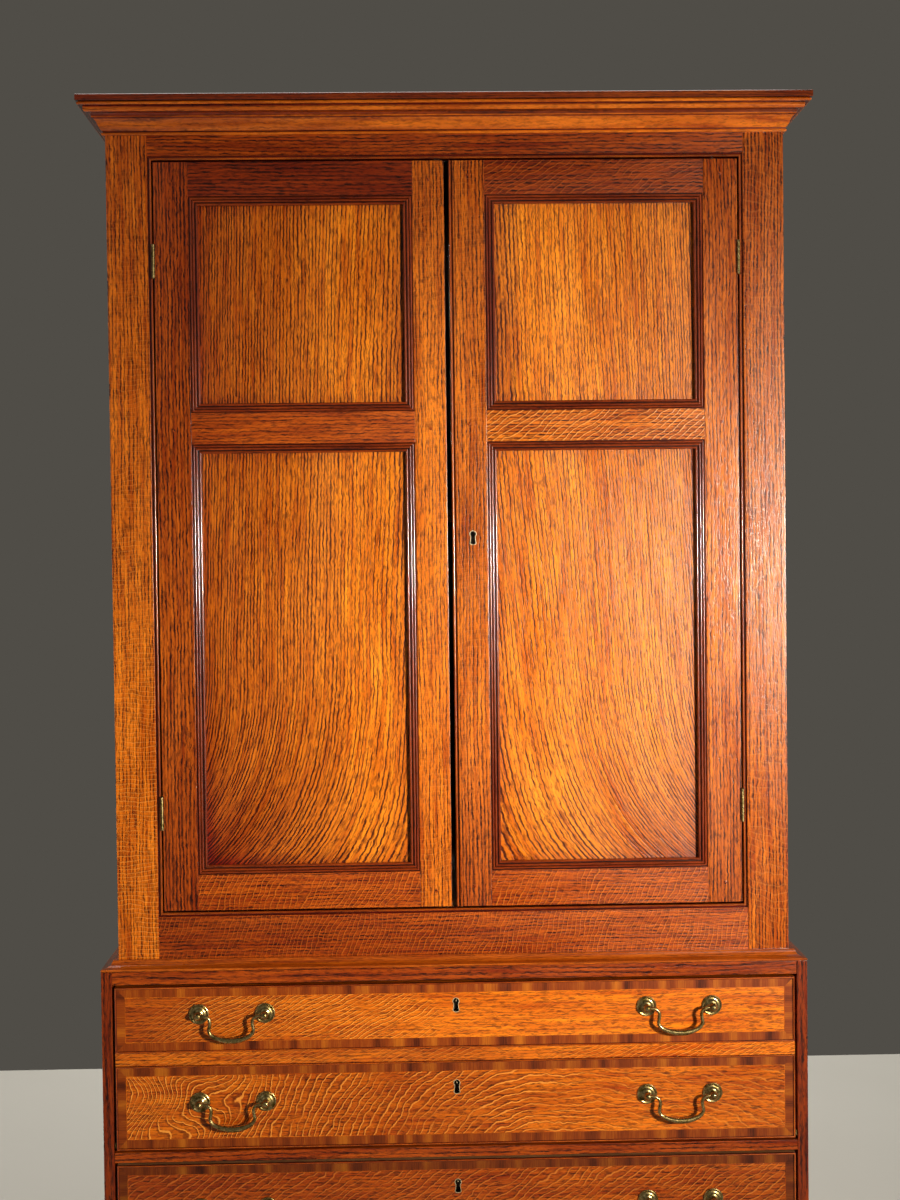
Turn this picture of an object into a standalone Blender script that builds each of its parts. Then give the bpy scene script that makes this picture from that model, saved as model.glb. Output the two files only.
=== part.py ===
"""An oak secretaire press: a two-door cupboard on a chest with a writing drawer and two long drawers.

Metres, +Z up, front towards -Y, origin on the floor under the middle of the whole piece.
"""
import math

import bmesh
import bpy
from mathutils import Vector

MM = 0.001

# Clearances
SEAT = 0.3 * MM              # between pieces that touch
RUN_SIDE = 0.6 * MM          # drawer box to carcass side
PIN_PLAY = 0.5 * MM          # round pin in its bore

# Press, the upper case
PRESS_WIDTH = 985 * MM
PRESS_HEIGHT = 1211 * MM     # chest top to underside of cornice
PRESS_SIDE = 18 * MM
PRESS_BACK = 12 * MM
PRESS_TOP = 14 * MM
PRESS_BOTTOM = 18 * MM
FRAME_DEPTH = 22 * MM
FRAME_STILE = 65.5 * MM
FRAME_BOTTOM_RAIL = 81 * MM
FRAME_TOP_DROP = 35 * MM     # underside of cornice to door opening
DOOR_STOP = 8 * MM           # cupboard floor above the bottom rail
SHELF_THICK = 18 * MM
SHELF_SETBACK = 40 * MM      # front of press to front of shelf
SHELF_HEIGHT = 560 * MM      # cupboard floor to shelf

# Cornice
CORNICE_HEIGHT = 52 * MM
CORNICE_REACH = 36.5 * MM
CORNICE_RIM = 10 * MM        # cornice above the top board

# Doors
DOOR_THICK = 22 * MM
DOOR_GAP_SIDE = 2.5 * MM
DOOR_GAP_ENDS = 3 * MM
MEETING_GAP = 7 * MM
HINGE_STILE = 50 * MM
MEETING_STILES = (46 * MM, 52 * MM)
DOOR_TOP_RAIL = 49 * MM
DOOR_MIDDLE_RAIL = 45 * MM
DOOR_BOTTOM_RAIL = 52 * MM
UPPER_PANEL_HEIGHT = 314 * MM
MOULDING_WIDTH = 14 * MM
MOULDING_DEPTH = 3 * MM
MOULDING_REEDS = 3
PANEL_RECESS = 8.5 * MM
PANEL_THICK = 7 * MM
PANEL_TONGUE = 8 * MM        # panel edge into its groove

# Door hinges and lock
BARREL_RADIUS = 2.8 * MM
BARREL_PROUD = 1 * MM        # hinge axis in front of the door face
BARREL_LENGTH = 50 * MM
BARREL_INSET = 118 * MM      # door end to hinge
LEAF_THICK = 1.2 * MM
LEAF_DEPTH = 18 * MM
LOCK_SIZE = (38 * MM, 12 * MM, 62 * MM)
LOCK_EDGE = 6 * MM           # meeting edge to lock
KEYHOLE_DROP = 543 * MM      # door top to keyhole

# Chest, the lower case
WAIST_STEP = 22.5 * MM       # chest beyond press, front and sides
WAIST_HEIGHT = 14 * MM
CHEST_DEPTH = 530 * MM
CHEST_SIDE = 15.5 * MM
CHEST_BACK = 12 * MM
CHEST_TOP = 19 * MM
CHEST_BOTTOM = 16 * MM
DUSTBOARD = 15 * MM
BASE_HEIGHT = 130 * MM
BASE_WALL = 20 * MM
BASE_REACH = 7 * MM
BASE_MOULDING = 14 * MM
FOOT_WIDTH = 150 * MM
FOOT_RISE = 20 * MM          # straight part of the foot's inner edge
FOOT_CURVE = 55 * MM

# Drawer fronts
GAP_ABOVE = 3.5 * MM
GAP_BELOW = 3.5 * MM
GAP_SIDE = 3.5 * MM
FALL_HEIGHT = 238 * MM
LONG_DRAWER_HEIGHTS = {"upper": 152 * MM, "lower": 176 * MM}
FRONT_THICK = 22 * MM
STRIP_TOP = 96 * MM          # top of the fall to the plain strip between its two dummy drawers
STRIP_HEIGHT = 19 * MM
BEAD_WIDTH = 3 * MM
BEAD_PROUD = 2.2 * MM
BOX_REAR_GAP = 38 * MM       # back of a drawer box to the chest's backboard
BOX_WALL = 10 * MM
BOX_FLOOR = 8 * MM
BOX_TOP_GAP = 5 * MM         # box below the top of its front

# Writing drawer
TRAY_WALL = 12 * MM
TRAY_FLOOR = 12 * MM
TRAY_FALL_GAP = 2 * MM
PIVOT_BACK = 4.5 * MM        # fall's axis behind its front
PIVOT_UP = 7 * MM            # fall's axis above its bottom edge
PIVOT_RADIUS = 2 * MM
PIVOT_LENGTH = 12 * MM
PIVOT_PLATE = 2.2 * MM
PIVOT_PLATE_HALF = 4 * MM
PIVOT_PLATE_TAIL = 24 * MM
GALLERY_DEPTH = 170 * MM
GALLERY_HEIGHT = 190 * MM
GALLERY_WALL = 6 * MM
GALLERY_COLUMNS = 6
GALLERY_ROWS = 2
LEATHER_THICK = 1.5 * MM
LEATHER_BORDER = 40 * MM

# Keyholes
KEYHOLE_RADIUS = 3.8 * MM
KEYHOLE_SLOT = 5 * MM        # width of the slot
KEYHOLE_LENGTH = 15 * MM     # middle of the round to the foot of the slot
KEYHOLE_DEPTH = 14 * MM
DOOR_KEYHOLE_IN = 30 * MM    # meeting edge to keyhole
FALL_KEYHOLE_DROPS = (28 * MM, 148 * MM)
LONG_KEYHOLE_DROPS = {"upper": 34 * MM, "lower": 38 * MM}

# Handles
HANDLE_IN = 170 * MM         # end of a drawer front to the middle of its handle
HANDLE_SPREAD = 96 * MM
FALL_HANDLE_DROPS = {"upper": 40 * MM, "lower": 169 * MM}
LONG_HANDLE_DROPS = {"upper": 65 * MM, "lower": 76 * MM}
ROSE_RADIUS = 14.8 * MM
ROSE_DOME = 7 * MM
POST_RADIUS = 3.6 * MM
POST_REACH = 16 * MM         # front to bail axis
BALL_RADIUS = 5.5 * MM
BAIL_END_RADIUS = 1.9 * MM
BAIL_MIDDLE_RADIUS = 4.5 * MM
BAIL_DROP = 36 * MM
# Half of a swan-neck bail: distance in from the post, and share of the drop
SWAN_NECK = ((-3 * MM, 0), (8 * MM, 0), (14 * MM, 0.06), (17.5 * MM, 0.2), (17 * MM, 0.4),
             (15.2 * MM, 0.62), (17.5 * MM, 0.8), (25 * MM, 0.94), (36 * MM, 0.985))

ROUND_STEPS = 12
ARC_STEPS = 5
CUT_OVER = 5 * MM            # how far a cutter runs past the face it breaks through

# Finishes: colour, roughness, metallic
OAK = ((0.30, 0.105, 0.028, 1), 0.38, 0.0)
OAK_PANEL = ((0.40, 0.150, 0.036, 1), 0.36, 0.0)
OAK_FRONT = ((0.43, 0.155, 0.030, 1), 0.38, 0.0)
OAK_INSIDE = ((0.36, 0.200, 0.090, 1), 0.60, 0.0)
BRASS = ((0.58, 0.43, 0.18, 1), 0.28, 1.0)
STEEL = ((0.20, 0.19, 0.18, 1), 0.45, 1.0)
LEATHER = ((0.05, 0.085, 0.045, 1), 0.55, 0.0)

# Places that follow from the sizes above
HANDLE_REACH = POST_REACH + BALL_RADIUS
CHEST_WIDTH = PRESS_WIDTH + 2 * WAIST_STEP
CHEST_FRONT = (max(HANDLE_REACH, CORNICE_REACH - WAIST_STEP, BASE_REACH) - CHEST_DEPTH) / 2
CHEST_REAR = CHEST_FRONT + CHEST_DEPTH
CHEST_INSIDE = CHEST_WIDTH / 2 - CHEST_SIDE
CHEST_FLOOR = BASE_HEIGHT + SEAT
FRONT_HALF = CHEST_INSIDE - GAP_SIDE
HANDLE_X = FRONT_HALF - HANDLE_IN
BOX_HALF = CHEST_INSIDE - RUN_SIDE
BOX_REAR = CHEST_REAR - CHEST_BACK - BOX_REAR_GAP
PRESS_FRONT = CHEST_FRONT + WAIST_STEP
FRAME_REAR = PRESS_FRONT + FRAME_DEPTH
OPENING_HALF = PRESS_WIDTH / 2 - FRAME_STILE


def stack_heights():
    """Heights of the boards and drawer fronts, from the chest's floor up to the top of the press."""
    z = {"bottom_board": (CHEST_FLOOR, CHEST_FLOOR + CHEST_BOTTOM)}
    under = z["bottom_board"][1]
    rows = (("lower", LONG_DRAWER_HEIGHTS["lower"]), ("upper", LONG_DRAWER_HEIGHTS["upper"]),
            ("fall", FALL_HEIGHT))
    for row, height in rows:
        z[row + "_bed"] = under
        z[row] = (under + GAP_BELOW, under + GAP_BELOW + height)
        over = z[row][1] + GAP_ABOVE
        z[row + "_over"] = (over, over + (CHEST_TOP if row == "fall" else DUSTBOARD))
        under = z[row + "_over"][1]
    z["chest_top"] = under
    z["cornice"] = (under + PRESS_HEIGHT, under + PRESS_HEIGHT + CORNICE_HEIGHT)
    z["press"] = (under + SEAT, z["cornice"][1] - CORNICE_RIM)
    z["opening"] = (under + FRAME_BOTTOM_RAIL, z["cornice"][0] - FRAME_TOP_DROP)
    z["door"] = (z["opening"][0] + DOOR_GAP_ENDS, z["opening"][1] - DOOR_GAP_ENDS)
    return z


Z = stack_heights()
CUPBOARD_FLOOR = Z["opening"][0] + DOOR_STOP
FALL_AXIS = Vector((0, CHEST_FRONT + PIVOT_BACK, Z["fall"][0] + PIVOT_UP))
WRITING_LEVEL = FALL_AXIS.z + FRONT_THICK - PIVOT_BACK
TRAY_FRONT = CHEST_FRONT + FRONT_THICK + TRAY_FALL_GAP
TRAY_INSIDE = BOX_HALF - TRAY_WALL


def clear_scene():
    """Remove what the file opens with and make the two collections."""
    for thing in list(bpy.data.objects):
        bpy.data.objects.remove(thing, do_unlink=True)
    groups = []
    for name in ("Secretaire press", "Cutters"):
        group = bpy.data.collections.new(name)
        bpy.context.scene.collection.children.link(group)
        groups.append(group)
    return groups


PARTS, CUTTERS = clear_scene()


def finish_of(name, finish):
    """A Principled material for one piece."""
    colour, roughness, metallic = finish
    material = bpy.data.materials.new(name + "_finish")
    material.use_nodes = True
    shader = material.node_tree.nodes["Principled BSDF"]
    shader.inputs["Base Color"].default_value = colour
    shader.inputs["Roughness"].default_value = roughness
    shader.inputs["Metallic"].default_value = metallic
    material.diffuse_color = colour
    return material


def body_at(name, place, carrier=None):
    """An empty on a joint's axis, which the pieces that move together hang from."""
    empty = bpy.data.objects.new(name, None)
    empty.empty_display_size = 0.05
    PARTS.objects.link(empty)
    hang(empty, Vector(place), carrier)
    return empty


def hang(thing, place, carrier):
    """Set a thing at a world place, under its carrier if it has one."""
    thing["place"] = tuple(place)
    thing.parent = carrier
    thing.location = place - Vector(carrier["place"]) if carrier else place


def add_piece(name, data, place, finish, carrier=None):
    """Link a piece of the object, with its material, at a world place."""
    piece = bpy.data.objects.new(name, data)
    data.materials.append(finish_of(name, finish))
    PARTS.objects.link(piece)
    hang(piece, Vector(place), carrier)
    return piece


def mesh_from(bm, name):
    """Turn a bmesh into a mesh with its faces pointing out."""
    bmesh.ops.recalc_face_normals(bm, faces=bm.faces)
    mesh = bpy.data.meshes.new(name)
    bm.to_mesh(mesh)
    bm.free()
    return mesh


def boxes_mesh(name, boxes, origin):
    """One or more separate boxes, each given by its low and high corners, about an origin."""
    bm = bmesh.new()
    for low, high in boxes:
        low, high = Vector(low), Vector(high)
        cube = bmesh.ops.create_cube(bm, size=1.0)["verts"]
        bmesh.ops.scale(bm, vec=high - low, verts=cube)
        bmesh.ops.translate(bm, vec=(low + high) / 2 - origin, verts=cube)
    return mesh_from(bm, name)


def board(name, low, high, finish, carrier=None):
    """A plain board between two corners."""
    middle = (Vector(low) + Vector(high)) / 2
    return add_piece(name, boxes_mesh(name, [(low, high)], middle), middle, finish, carrier)


def cutter_from(name, mesh):
    """A hidden tool object for a Boolean."""
    tool = bpy.data.objects.new(name, mesh)
    tool.hide_render = True
    tool.display_type = "WIRE"
    CUTTERS.objects.link(tool)
    return tool


def combine(piece, tool, operation="DIFFERENCE"):
    """Cut a tool out of a piece, or join it on."""
    step = piece.modifiers.new(tool.name, "BOOLEAN")
    step.operation = operation
    step.solver = "EXACT"
    step.object = tool


def cut_boxes(piece, name, boxes):
    """Cut separate boxes out of a piece."""
    combine(piece, cutter_from(name, boxes_mesh(name, boxes, Vector())))


def prism(name, outline, along):
    """Sweep a flat outline, given as 3D points, along a vector into a closed body."""
    bm = bmesh.new()
    face = bm.faces.new([bm.verts.new(point) for point in outline])
    moved = bmesh.ops.extrude_face_region(bm, geom=[face])["geom"]
    bmesh.ops.translate(bm, vec=along, verts=[part for part in moved if isinstance(part, bmesh.types.BMVert)])
    return mesh_from(bm, name)


def rod(name, start, along, radius):
    """A round bar from a start point along a vector."""
    along = Vector(along)
    bm = bmesh.new()
    bmesh.ops.create_cone(bm, cap_ends=True, segments=ROUND_STEPS, radius1=radius, radius2=radius,
                          depth=along.length)
    turn = Vector((0, 0, 1)).rotation_difference(along)
    bmesh.ops.rotate(bm, matrix=turn.to_matrix(), verts=bm.verts)
    bmesh.ops.translate(bm, vec=Vector(start) + along / 2, verts=bm.verts)
    return mesh_from(bm, name)


def arc(centre, radii, start, end, steps=ARC_STEPS):
    """Points on an ellipse arc, with angles in degrees, both ends included."""
    points = []
    for step in range(steps + 1):
        angle = math.radians(start + (end - start) * step / steps)
        points.append((centre[0] + radii[0] * math.cos(angle), centre[1] + radii[1] * math.sin(angle)))
    return points


def mitred(name, profile, half, front, rear, foot):
    """Run a moulding profile round the left, front and right sides, mitred at the two front corners.

    Each profile point is a distance out from the case and a height above the foot.
    """
    stations = ((-half, rear, -1, 0), (-half, front, -1, -1), (half, front, 1, -1), (half, rear, 1, 0))
    x, y, out_x, out_y = stations[0]
    bm = bmesh.new()
    face = bm.faces.new([bm.verts.new((x + out_x * out, y + out_y * out, foot + up)) for out, up in profile])
    for number, (next_x, next_y, next_out_x, next_out_y) in enumerate(stations[1:]):
        moved = bmesh.ops.extrude_face_region(bm, geom=[face])["geom"]
        if number:
            bmesh.ops.delete(bm, geom=[face], context="FACES_ONLY")
        face = next(part for part in moved if isinstance(part, bmesh.types.BMFace))
        for vert in face.verts:
            out = (vert.co.x - x) / out_x
            vert.co = (next_x + next_out_x * out, next_y + next_out_y * out, vert.co.z)
        x, out_x = next_x, next_out_x
    return mesh_from(bm, name)


def cornice_profile():
    """Bead, quirk, large cyma, fillet, cove, ovolo, small bead and top fillet, as out and up."""
    reach = CORNICE_REACH - SEAT
    bead = 2 * MM
    quirk = 1.5 * MM
    cyma = (11.5 * MM, 17 * MM)
    fillet = 2 * MM
    cove = (6 * MM, 5 * MM)
    ovolo = (3.5 * MM, 4.5 * MM)
    top_fillet = 9 * MM
    points = [(0, 0)]
    points += arc((bead * 1.4, bead), (bead * 0.8, bead), -90, 90)
    out, up = bead * 1.4, bead * 2 + quirk
    points.append((out, up))
    for step in range(1, ARC_STEPS * 2 + 1):
        share = step / (ARC_STEPS * 2)
        sway = math.sin(2 * math.pi * share) * 0.06
        points.append((out + cyma[0] * (share + sway), up + cyma[1] * share))
    out, up = out + cyma[0] + fillet, up + cyma[1]
    points += [(out, up), (out, up + fillet)]
    points += arc((out + cove[0], up + fillet), (cove[0], cove[1]), 180, 90)[1:]
    out, up = out + cove[0] + fillet / 2, up + fillet + cove[1]
    points.append((out, up))
    points += arc((out, up + ovolo[1]), (ovolo[0], ovolo[1]), -90, 0)[1:]
    out, up = out + ovolo[0], up + ovolo[1]
    bead_up = CORNICE_HEIGHT - top_fillet - quirk - bead * 2
    points += [(out, bead_up), (reach - bead * 2, bead_up)]
    points += arc((reach - bead * 2, bead_up + bead), (bead, bead), -90, 90)[1:]
    points += [(reach - bead * 2, CORNICE_HEIGHT - top_fillet), (reach, CORNICE_HEIGHT - top_fillet)]
    points += [(reach, CORNICE_HEIGHT), (0, CORNICE_HEIGHT)]
    return points


def waist_profile():
    """A flat top fillet, a hollow slope and a square lower edge."""
    reach = WAIST_STEP - SEAT
    shoulder = 7 * MM
    fillet = 2 * MM
    edge = 3.5 * MM
    hollow = (reach - shoulder - fillet / 2, WAIST_HEIGHT - fillet - edge)
    points = [(0, 0), (reach, 0)]
    points += arc((reach, WAIST_HEIGHT - fillet), hollow, -90, -180)
    points += [(shoulder, WAIST_HEIGHT - fillet), (shoulder, WAIST_HEIGHT), (0, WAIST_HEIGHT)]
    return points


def base_profile():
    """A plain plinth wall with a hollow moulding along its top edge."""
    ledge = 1.5 * MM
    hollow = (BASE_REACH - ledge, BASE_MOULDING - ledge)
    points = [(BASE_REACH - BASE_WALL, 0), (BASE_REACH, 0)]
    points += arc((BASE_REACH, BASE_HEIGHT - ledge), hollow, -90, -180)
    points += [(ledge, BASE_HEIGHT), (BASE_REACH - BASE_WALL, BASE_HEIGHT)]
    return points


def apron_outline(half):
    """The opening between two bracket feet: upright edges, quarter rounds and a straight apron."""
    side = arc((half - FOOT_CURVE, FOOT_RISE), (FOOT_CURVE, FOOT_CURVE), 0, 90)
    right = [(half, -CUT_OVER)] + side
    return right + [(-across, up) for across, up in reversed(right)]


def cut_keyhole(piece, name, x, front, z):
    """Sink a keyhole, round above and slotted below, into a front."""
    half = KEYHOLE_SLOT / 2
    meet = math.degrees(math.acos(half / KEYHOLE_RADIUS))
    outline = arc((0, 0), (KEYHOLE_RADIUS, KEYHOLE_RADIUS), -meet, 180 + meet, ROUND_STEPS)
    outline += [(-half, -KEYHOLE_LENGTH), (half, -KEYHOLE_LENGTH)]
    points = [(x + across, front - CUT_OVER, z + up) for across, up in outline]
    depth = Vector((0, CUT_OVER + KEYHOLE_DEPTH, 0))
    combine(piece, cutter_from(name, prism(name, points, depth)))


def beaded_front(name, low, high, fields, carrier):
    """A drawer front with a raised bead left round each sunk field, given as its low and high corners."""
    front = CHEST_FRONT - BEAD_PROUD
    piece = board(name, (-FRONT_HALF, front, low), (FRONT_HALF, CHEST_FRONT + FRONT_THICK, high),
                  OAK_FRONT, carrier)
    cut_boxes(piece, name + "_fields", [((x0, front - CUT_OVER, z0), (x1, CHEST_FRONT, z1))
                                        for (x0, z0), (x1, z1) in fields])
    return piece


def build_press():
    """The upper case: face frame, sides, top, bottom, back, shelf and cornice."""
    half = PRESS_WIDTH / 2
    low, high = Z["press"]
    frame = board("face_frame", (-half, PRESS_FRONT, low), (half, FRAME_REAR, high), OAK)
    cut_boxes(frame, "door_opening_cut", [((-OPENING_HALF, PRESS_FRONT - CUT_OVER, Z["opening"][0]),
                                           (OPENING_HALF, FRAME_REAR + CUT_OVER, Z["opening"][1]))])
    behind = FRAME_REAR + SEAT
    for side, sign in (("left", -1), ("right", 1)):
        across = sorted((sign * half, sign * (half - PRESS_SIDE)))
        board("press_side_" + side, (across[0], behind, low), (across[1], CHEST_REAR, high), OAK)
    inside = half - PRESS_SIDE - SEAT
    back = CHEST_REAR - PRESS_BACK
    board("press_back", (-inside, back, low), (inside, CHEST_REAR, high), OAK_INSIDE)
    boards = {"press_top": (high - PRESS_TOP, high, behind),
              "press_floor": (CUPBOARD_FLOOR - PRESS_BOTTOM, CUPBOARD_FLOOR, behind),
              "press_shelf": (CUPBOARD_FLOOR + SHELF_HEIGHT, CUPBOARD_FLOOR + SHELF_HEIGHT + SHELF_THICK,
                              PRESS_FRONT + SHELF_SETBACK)}
    for name, (under, over, front) in boards.items():
        board(name, (-inside, front, under), (inside, back - SEAT, over), OAK_INSIDE)
    cornice = mitred("cornice", cornice_profile(), half + SEAT, PRESS_FRONT - SEAT, CHEST_REAR, Z["cornice"][0])
    add_piece("cornice", cornice, (0, 0, 0), OAK)
    return frame


def hinge_outline(sign):
    """Barrel and leaf of a butt hinge seen from above, about the barrel's axis; the leaf lies on the frame."""
    far = DOOR_GAP_SIDE / 2 - SEAT
    near = far - LEAF_THICK
    start = math.degrees(math.acos(far / BARREL_RADIUS))
    end = math.degrees(math.acos(near / BARREL_RADIUS))
    barrel = arc((0, 0), (BARREL_RADIUS, BARREL_RADIUS), start, end - 360, ROUND_STEPS)
    tail = BARREL_PROUD + LEAF_DEPTH
    outline = [(far, tail)] + barrel + [(near, tail)]
    return [(sign * across, back) for across, back in outline]


def build_door(side, sign, meeting_stile, face_frame):
    """One door: frame with two grooved and moulded windows, two panels, and its two hinges."""
    axis = Vector((sign * (OPENING_HALF - DOOR_GAP_SIDE / 2), PRESS_FRONT - BARREL_PROUD, Z["door"][0]))
    body = body_at(side + "_door", axis)
    hinge_edge = OPENING_HALF - DOOR_GAP_SIDE
    meeting_edge = MEETING_GAP / 2
    low, high = Z["door"]
    across = sorted((sign * hinge_edge, sign * meeting_edge))
    frame = board(side + "_door_frame", (across[0], PRESS_FRONT, low),
                  (across[1], PRESS_FRONT + DOOR_THICK, high), OAK, body)
    split = high - DOOR_TOP_RAIL - UPPER_PANEL_HEIGHT
    windows = {"upper": (split, high - DOOR_TOP_RAIL),
               "lower": (low + DOOR_BOTTOM_RAIL, split - DOOR_MIDDLE_RAIL)}
    edges = sorted((sign * (hinge_edge - HINGE_STILE), sign * (meeting_edge + meeting_stile)))
    panel_front = PRESS_FRONT + PANEL_RECESS
    for window, (under, over) in windows.items():
        label = side + "_" + window

        def within(inset, front, rear):
            return ((edges[0] + inset, front, under + inset), (edges[1] - inset, rear, over - inset))

        for reed in range(MOULDING_REEDS):
            inset = MOULDING_WIDTH * reed / MOULDING_REEDS
            depth = MOULDING_DEPTH * (reed + 1) / MOULDING_REEDS
            cut_boxes(frame, label + "_reed_cut_" + str(reed + 1),
                      [within(inset, PRESS_FRONT - CUT_OVER, PRESS_FRONT + depth)])
        cut_boxes(frame, label + "_window_cut",
                  [within(MOULDING_WIDTH, PRESS_FRONT - CUT_OVER, PRESS_FRONT + DOOR_THICK + CUT_OVER)])
        groove = MOULDING_WIDTH - PANEL_TONGUE
        cut_boxes(frame, label + "_groove_cut",
                  [within(groove - SEAT, panel_front - SEAT, panel_front + PANEL_THICK + SEAT)])
        board(label + "_panel", *within(groove, panel_front, panel_front + PANEL_THICK), OAK_PANEL, body)
    room = BARREL_RADIUS + SEAT
    for end, under in (("lower", low + BARREL_INSET), ("upper", high - BARREL_INSET - BARREL_LENGTH)):
        name = side + "_door_" + end + "_hinge"
        outline = [(axis.x + x, axis.y + y, under) for x, y in hinge_outline(sign)]
        foot = Vector((axis.x, axis.y, under))
        mesh = prism(name, [Vector(point) - foot for point in outline], Vector((0, 0, BARREL_LENGTH)))
        add_piece(name, mesh, foot, BRASS)
        notch = ((axis.x - room, axis.y - room, under - SEAT),
                 (axis.x + room, axis.y + room, under + BARREL_LENGTH + SEAT))
        tool = cutter_from(name + "_notch", boxes_mesh(name + "_notch", [notch], Vector()))
        combine(frame, tool)
        combine(face_frame, tool)
    if side == "right":
        cut_keyhole(frame, "door_keyhole", meeting_edge + DOOR_KEYHOLE_IN, PRESS_FRONT, high - KEYHOLE_DROP)
    return body


def build_lock(carrier):
    """The box lock behind the right door's meeting stile."""
    width, depth, height = LOCK_SIZE
    edge = MEETING_GAP / 2 + LOCK_EDGE
    rear = PRESS_FRONT + DOOR_THICK + SEAT
    middle = Z["door"][1] - KEYHOLE_DROP
    board("door_lock", (edge, rear, middle - height / 2), (edge + width, rear + depth, middle + height / 2),
          STEEL, carrier)


def build_chest():
    """The lower case: sides, top, bottom, back, dustboards, waist moulding and bracket base."""
    half = CHEST_WIDTH / 2
    top = Z["chest_top"]
    for side, sign in (("left", -1), ("right", 1)):
        across = sorted((sign * half, sign * CHEST_INSIDE))
        board("chest_side_" + side, (across[0], CHEST_FRONT, CHEST_FLOOR), (across[1], CHEST_REAR, top), OAK)
    inside = CHEST_INSIDE - SEAT
    back = CHEST_REAR - CHEST_BACK
    board("chest_back", (-inside, back, CHEST_FLOOR), (inside, CHEST_REAR, top), OAK_INSIDE)
    levels = {"chest_top": Z["fall_over"], "secretaire_dustboard": Z["upper_over"],
              "drawer_dustboard": Z["lower_over"], "chest_floor": Z["bottom_board"]}
    for name, (under, over) in levels.items():
        board(name, (-inside, CHEST_FRONT, under), (inside, back - SEAT, over), OAK)
    waist = mitred("waist_moulding", waist_profile(), PRESS_WIDTH / 2 + SEAT, PRESS_FRONT - SEAT,
                   CHEST_REAR, top + SEAT)
    add_piece("waist_moulding", waist, (0, 0, 0), OAK)
    plinth = mitred("bracket_base", base_profile(), half, CHEST_FRONT, CHEST_REAR, 0)
    base = add_piece("bracket_base", plinth, (0, 0, 0), OAK)
    front_half = half + BASE_REACH - FOOT_WIDTH
    face = CHEST_FRONT - BASE_REACH - CUT_OVER
    outline = [(x, face, z) for x, z in apron_outline(front_half)]
    depth = Vector((0, BASE_WALL + 2 * CUT_OVER, 0))
    combine(base, cutter_from("front_apron_cut", prism("front_apron_cut", outline, depth)))
    middle = (CHEST_FRONT - BASE_REACH + CHEST_REAR) / 2
    side_half = (CHEST_DEPTH + BASE_REACH) / 2 - FOOT_WIDTH
    outline = [(-half - BASE_REACH - CUT_OVER, middle + y, z) for y, z in apron_outline(side_half)]
    width = Vector((2 * (half + BASE_REACH + CUT_OVER), 0, 0))
    combine(base, cutter_from("side_apron_cut", prism("side_apron_cut", outline, width)))


def build_handle(name, x, z, carrier):
    """A swan-neck bail in two turned roses, each with a post and a bored ball end."""
    bail_axis = CHEST_FRONT - POST_REACH
    bore_radius = BAIL_END_RADIUS + PIN_PLAY
    reach = HANDLE_SPREAD / 2 + BALL_RADIUS + CUT_OVER
    bore = cutter_from(name + "_bore", rod(name + "_bore", (x - reach, bail_axis, z), (2 * reach, 0, 0),
                                           bore_radius))
    for side, sign in (("left", -1), ("right", 1)):
        build_rose(name + "_rose_" + side, x + sign * HANDLE_SPREAD / 2, z, bore, carrier)
    pivot = body_at(name + "_swing", (x, bail_axis, z), carrier)
    build_bail(name + "_bail", (x, bail_axis, z), pivot)


def rose_profile():
    """Radius and height of a rose, from the ball's tip down to the back of the rose."""
    rim = 2 * MM
    meet = math.degrees(math.asin(POST_RADIUS / BALL_RADIUS))
    back = SEAT
    ball = arc((0, POST_REACH), (BALL_RADIUS, BALL_RADIUS), 90, meet - 90)
    dome = arc((0, rim), (ROSE_RADIUS, ROSE_DOME - rim), 75, 0, 4)
    return ball + dome + [(ROSE_RADIUS, back), (0, back)]


def build_rose(name, x, z, bore, carrier):
    """Turn one rose about its post and bore its ball for the bail."""
    points = rose_profile()
    mesh = bpy.data.meshes.new(name)
    mesh.from_pydata([(radius, 0, up) for radius, up in points], [(i, i + 1) for i in range(len(points) - 1)], [])
    rose = add_piece(name, mesh, (x, CHEST_FRONT, z), BRASS, carrier)
    rose.rotation_euler = (math.radians(90), 0, 0)
    turn = rose.modifiers.new("Turned", "SCREW")
    turn.angle = 2 * math.pi
    turn.steps = ROUND_STEPS
    turn.render_steps = ROUND_STEPS
    turn.use_merge_vertices = True
    turn.merge_threshold = 0.00001
    turn.use_smooth_shade = True
    combine(rose, bore)


def build_bail(name, place, carrier):
    """A tapered wire, bent to a swan neck, with its ends in the balls of the two roses."""
    post = HANDLE_SPREAD / 2
    half = [(post - inset, -share * BAIL_DROP) for inset, share in SWAN_NECK]
    path = half + [(0, -BAIL_DROP)] + [(-across, up) for across, up in reversed(half)]
    curve = bpy.data.curves.new(name, "CURVE")
    curve.dimensions = "3D"
    curve.bevel_depth = BAIL_END_RADIUS
    curve.bevel_resolution = 2
    curve.use_fill_caps = True
    spline = curve.splines.new("POLY")
    spline.points.add(len(path) - 1)
    swell = BAIL_MIDDLE_RADIUS / BAIL_END_RADIUS - 1
    for point, (across, up) in zip(spline.points, path):
        point.co = (across, 0, up, 1)
        point.radius = 1 + swell * max(0, 1 - (2 * across / post) ** 2)
    return add_piece(name, curve, place, BRASS, carrier)


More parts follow.
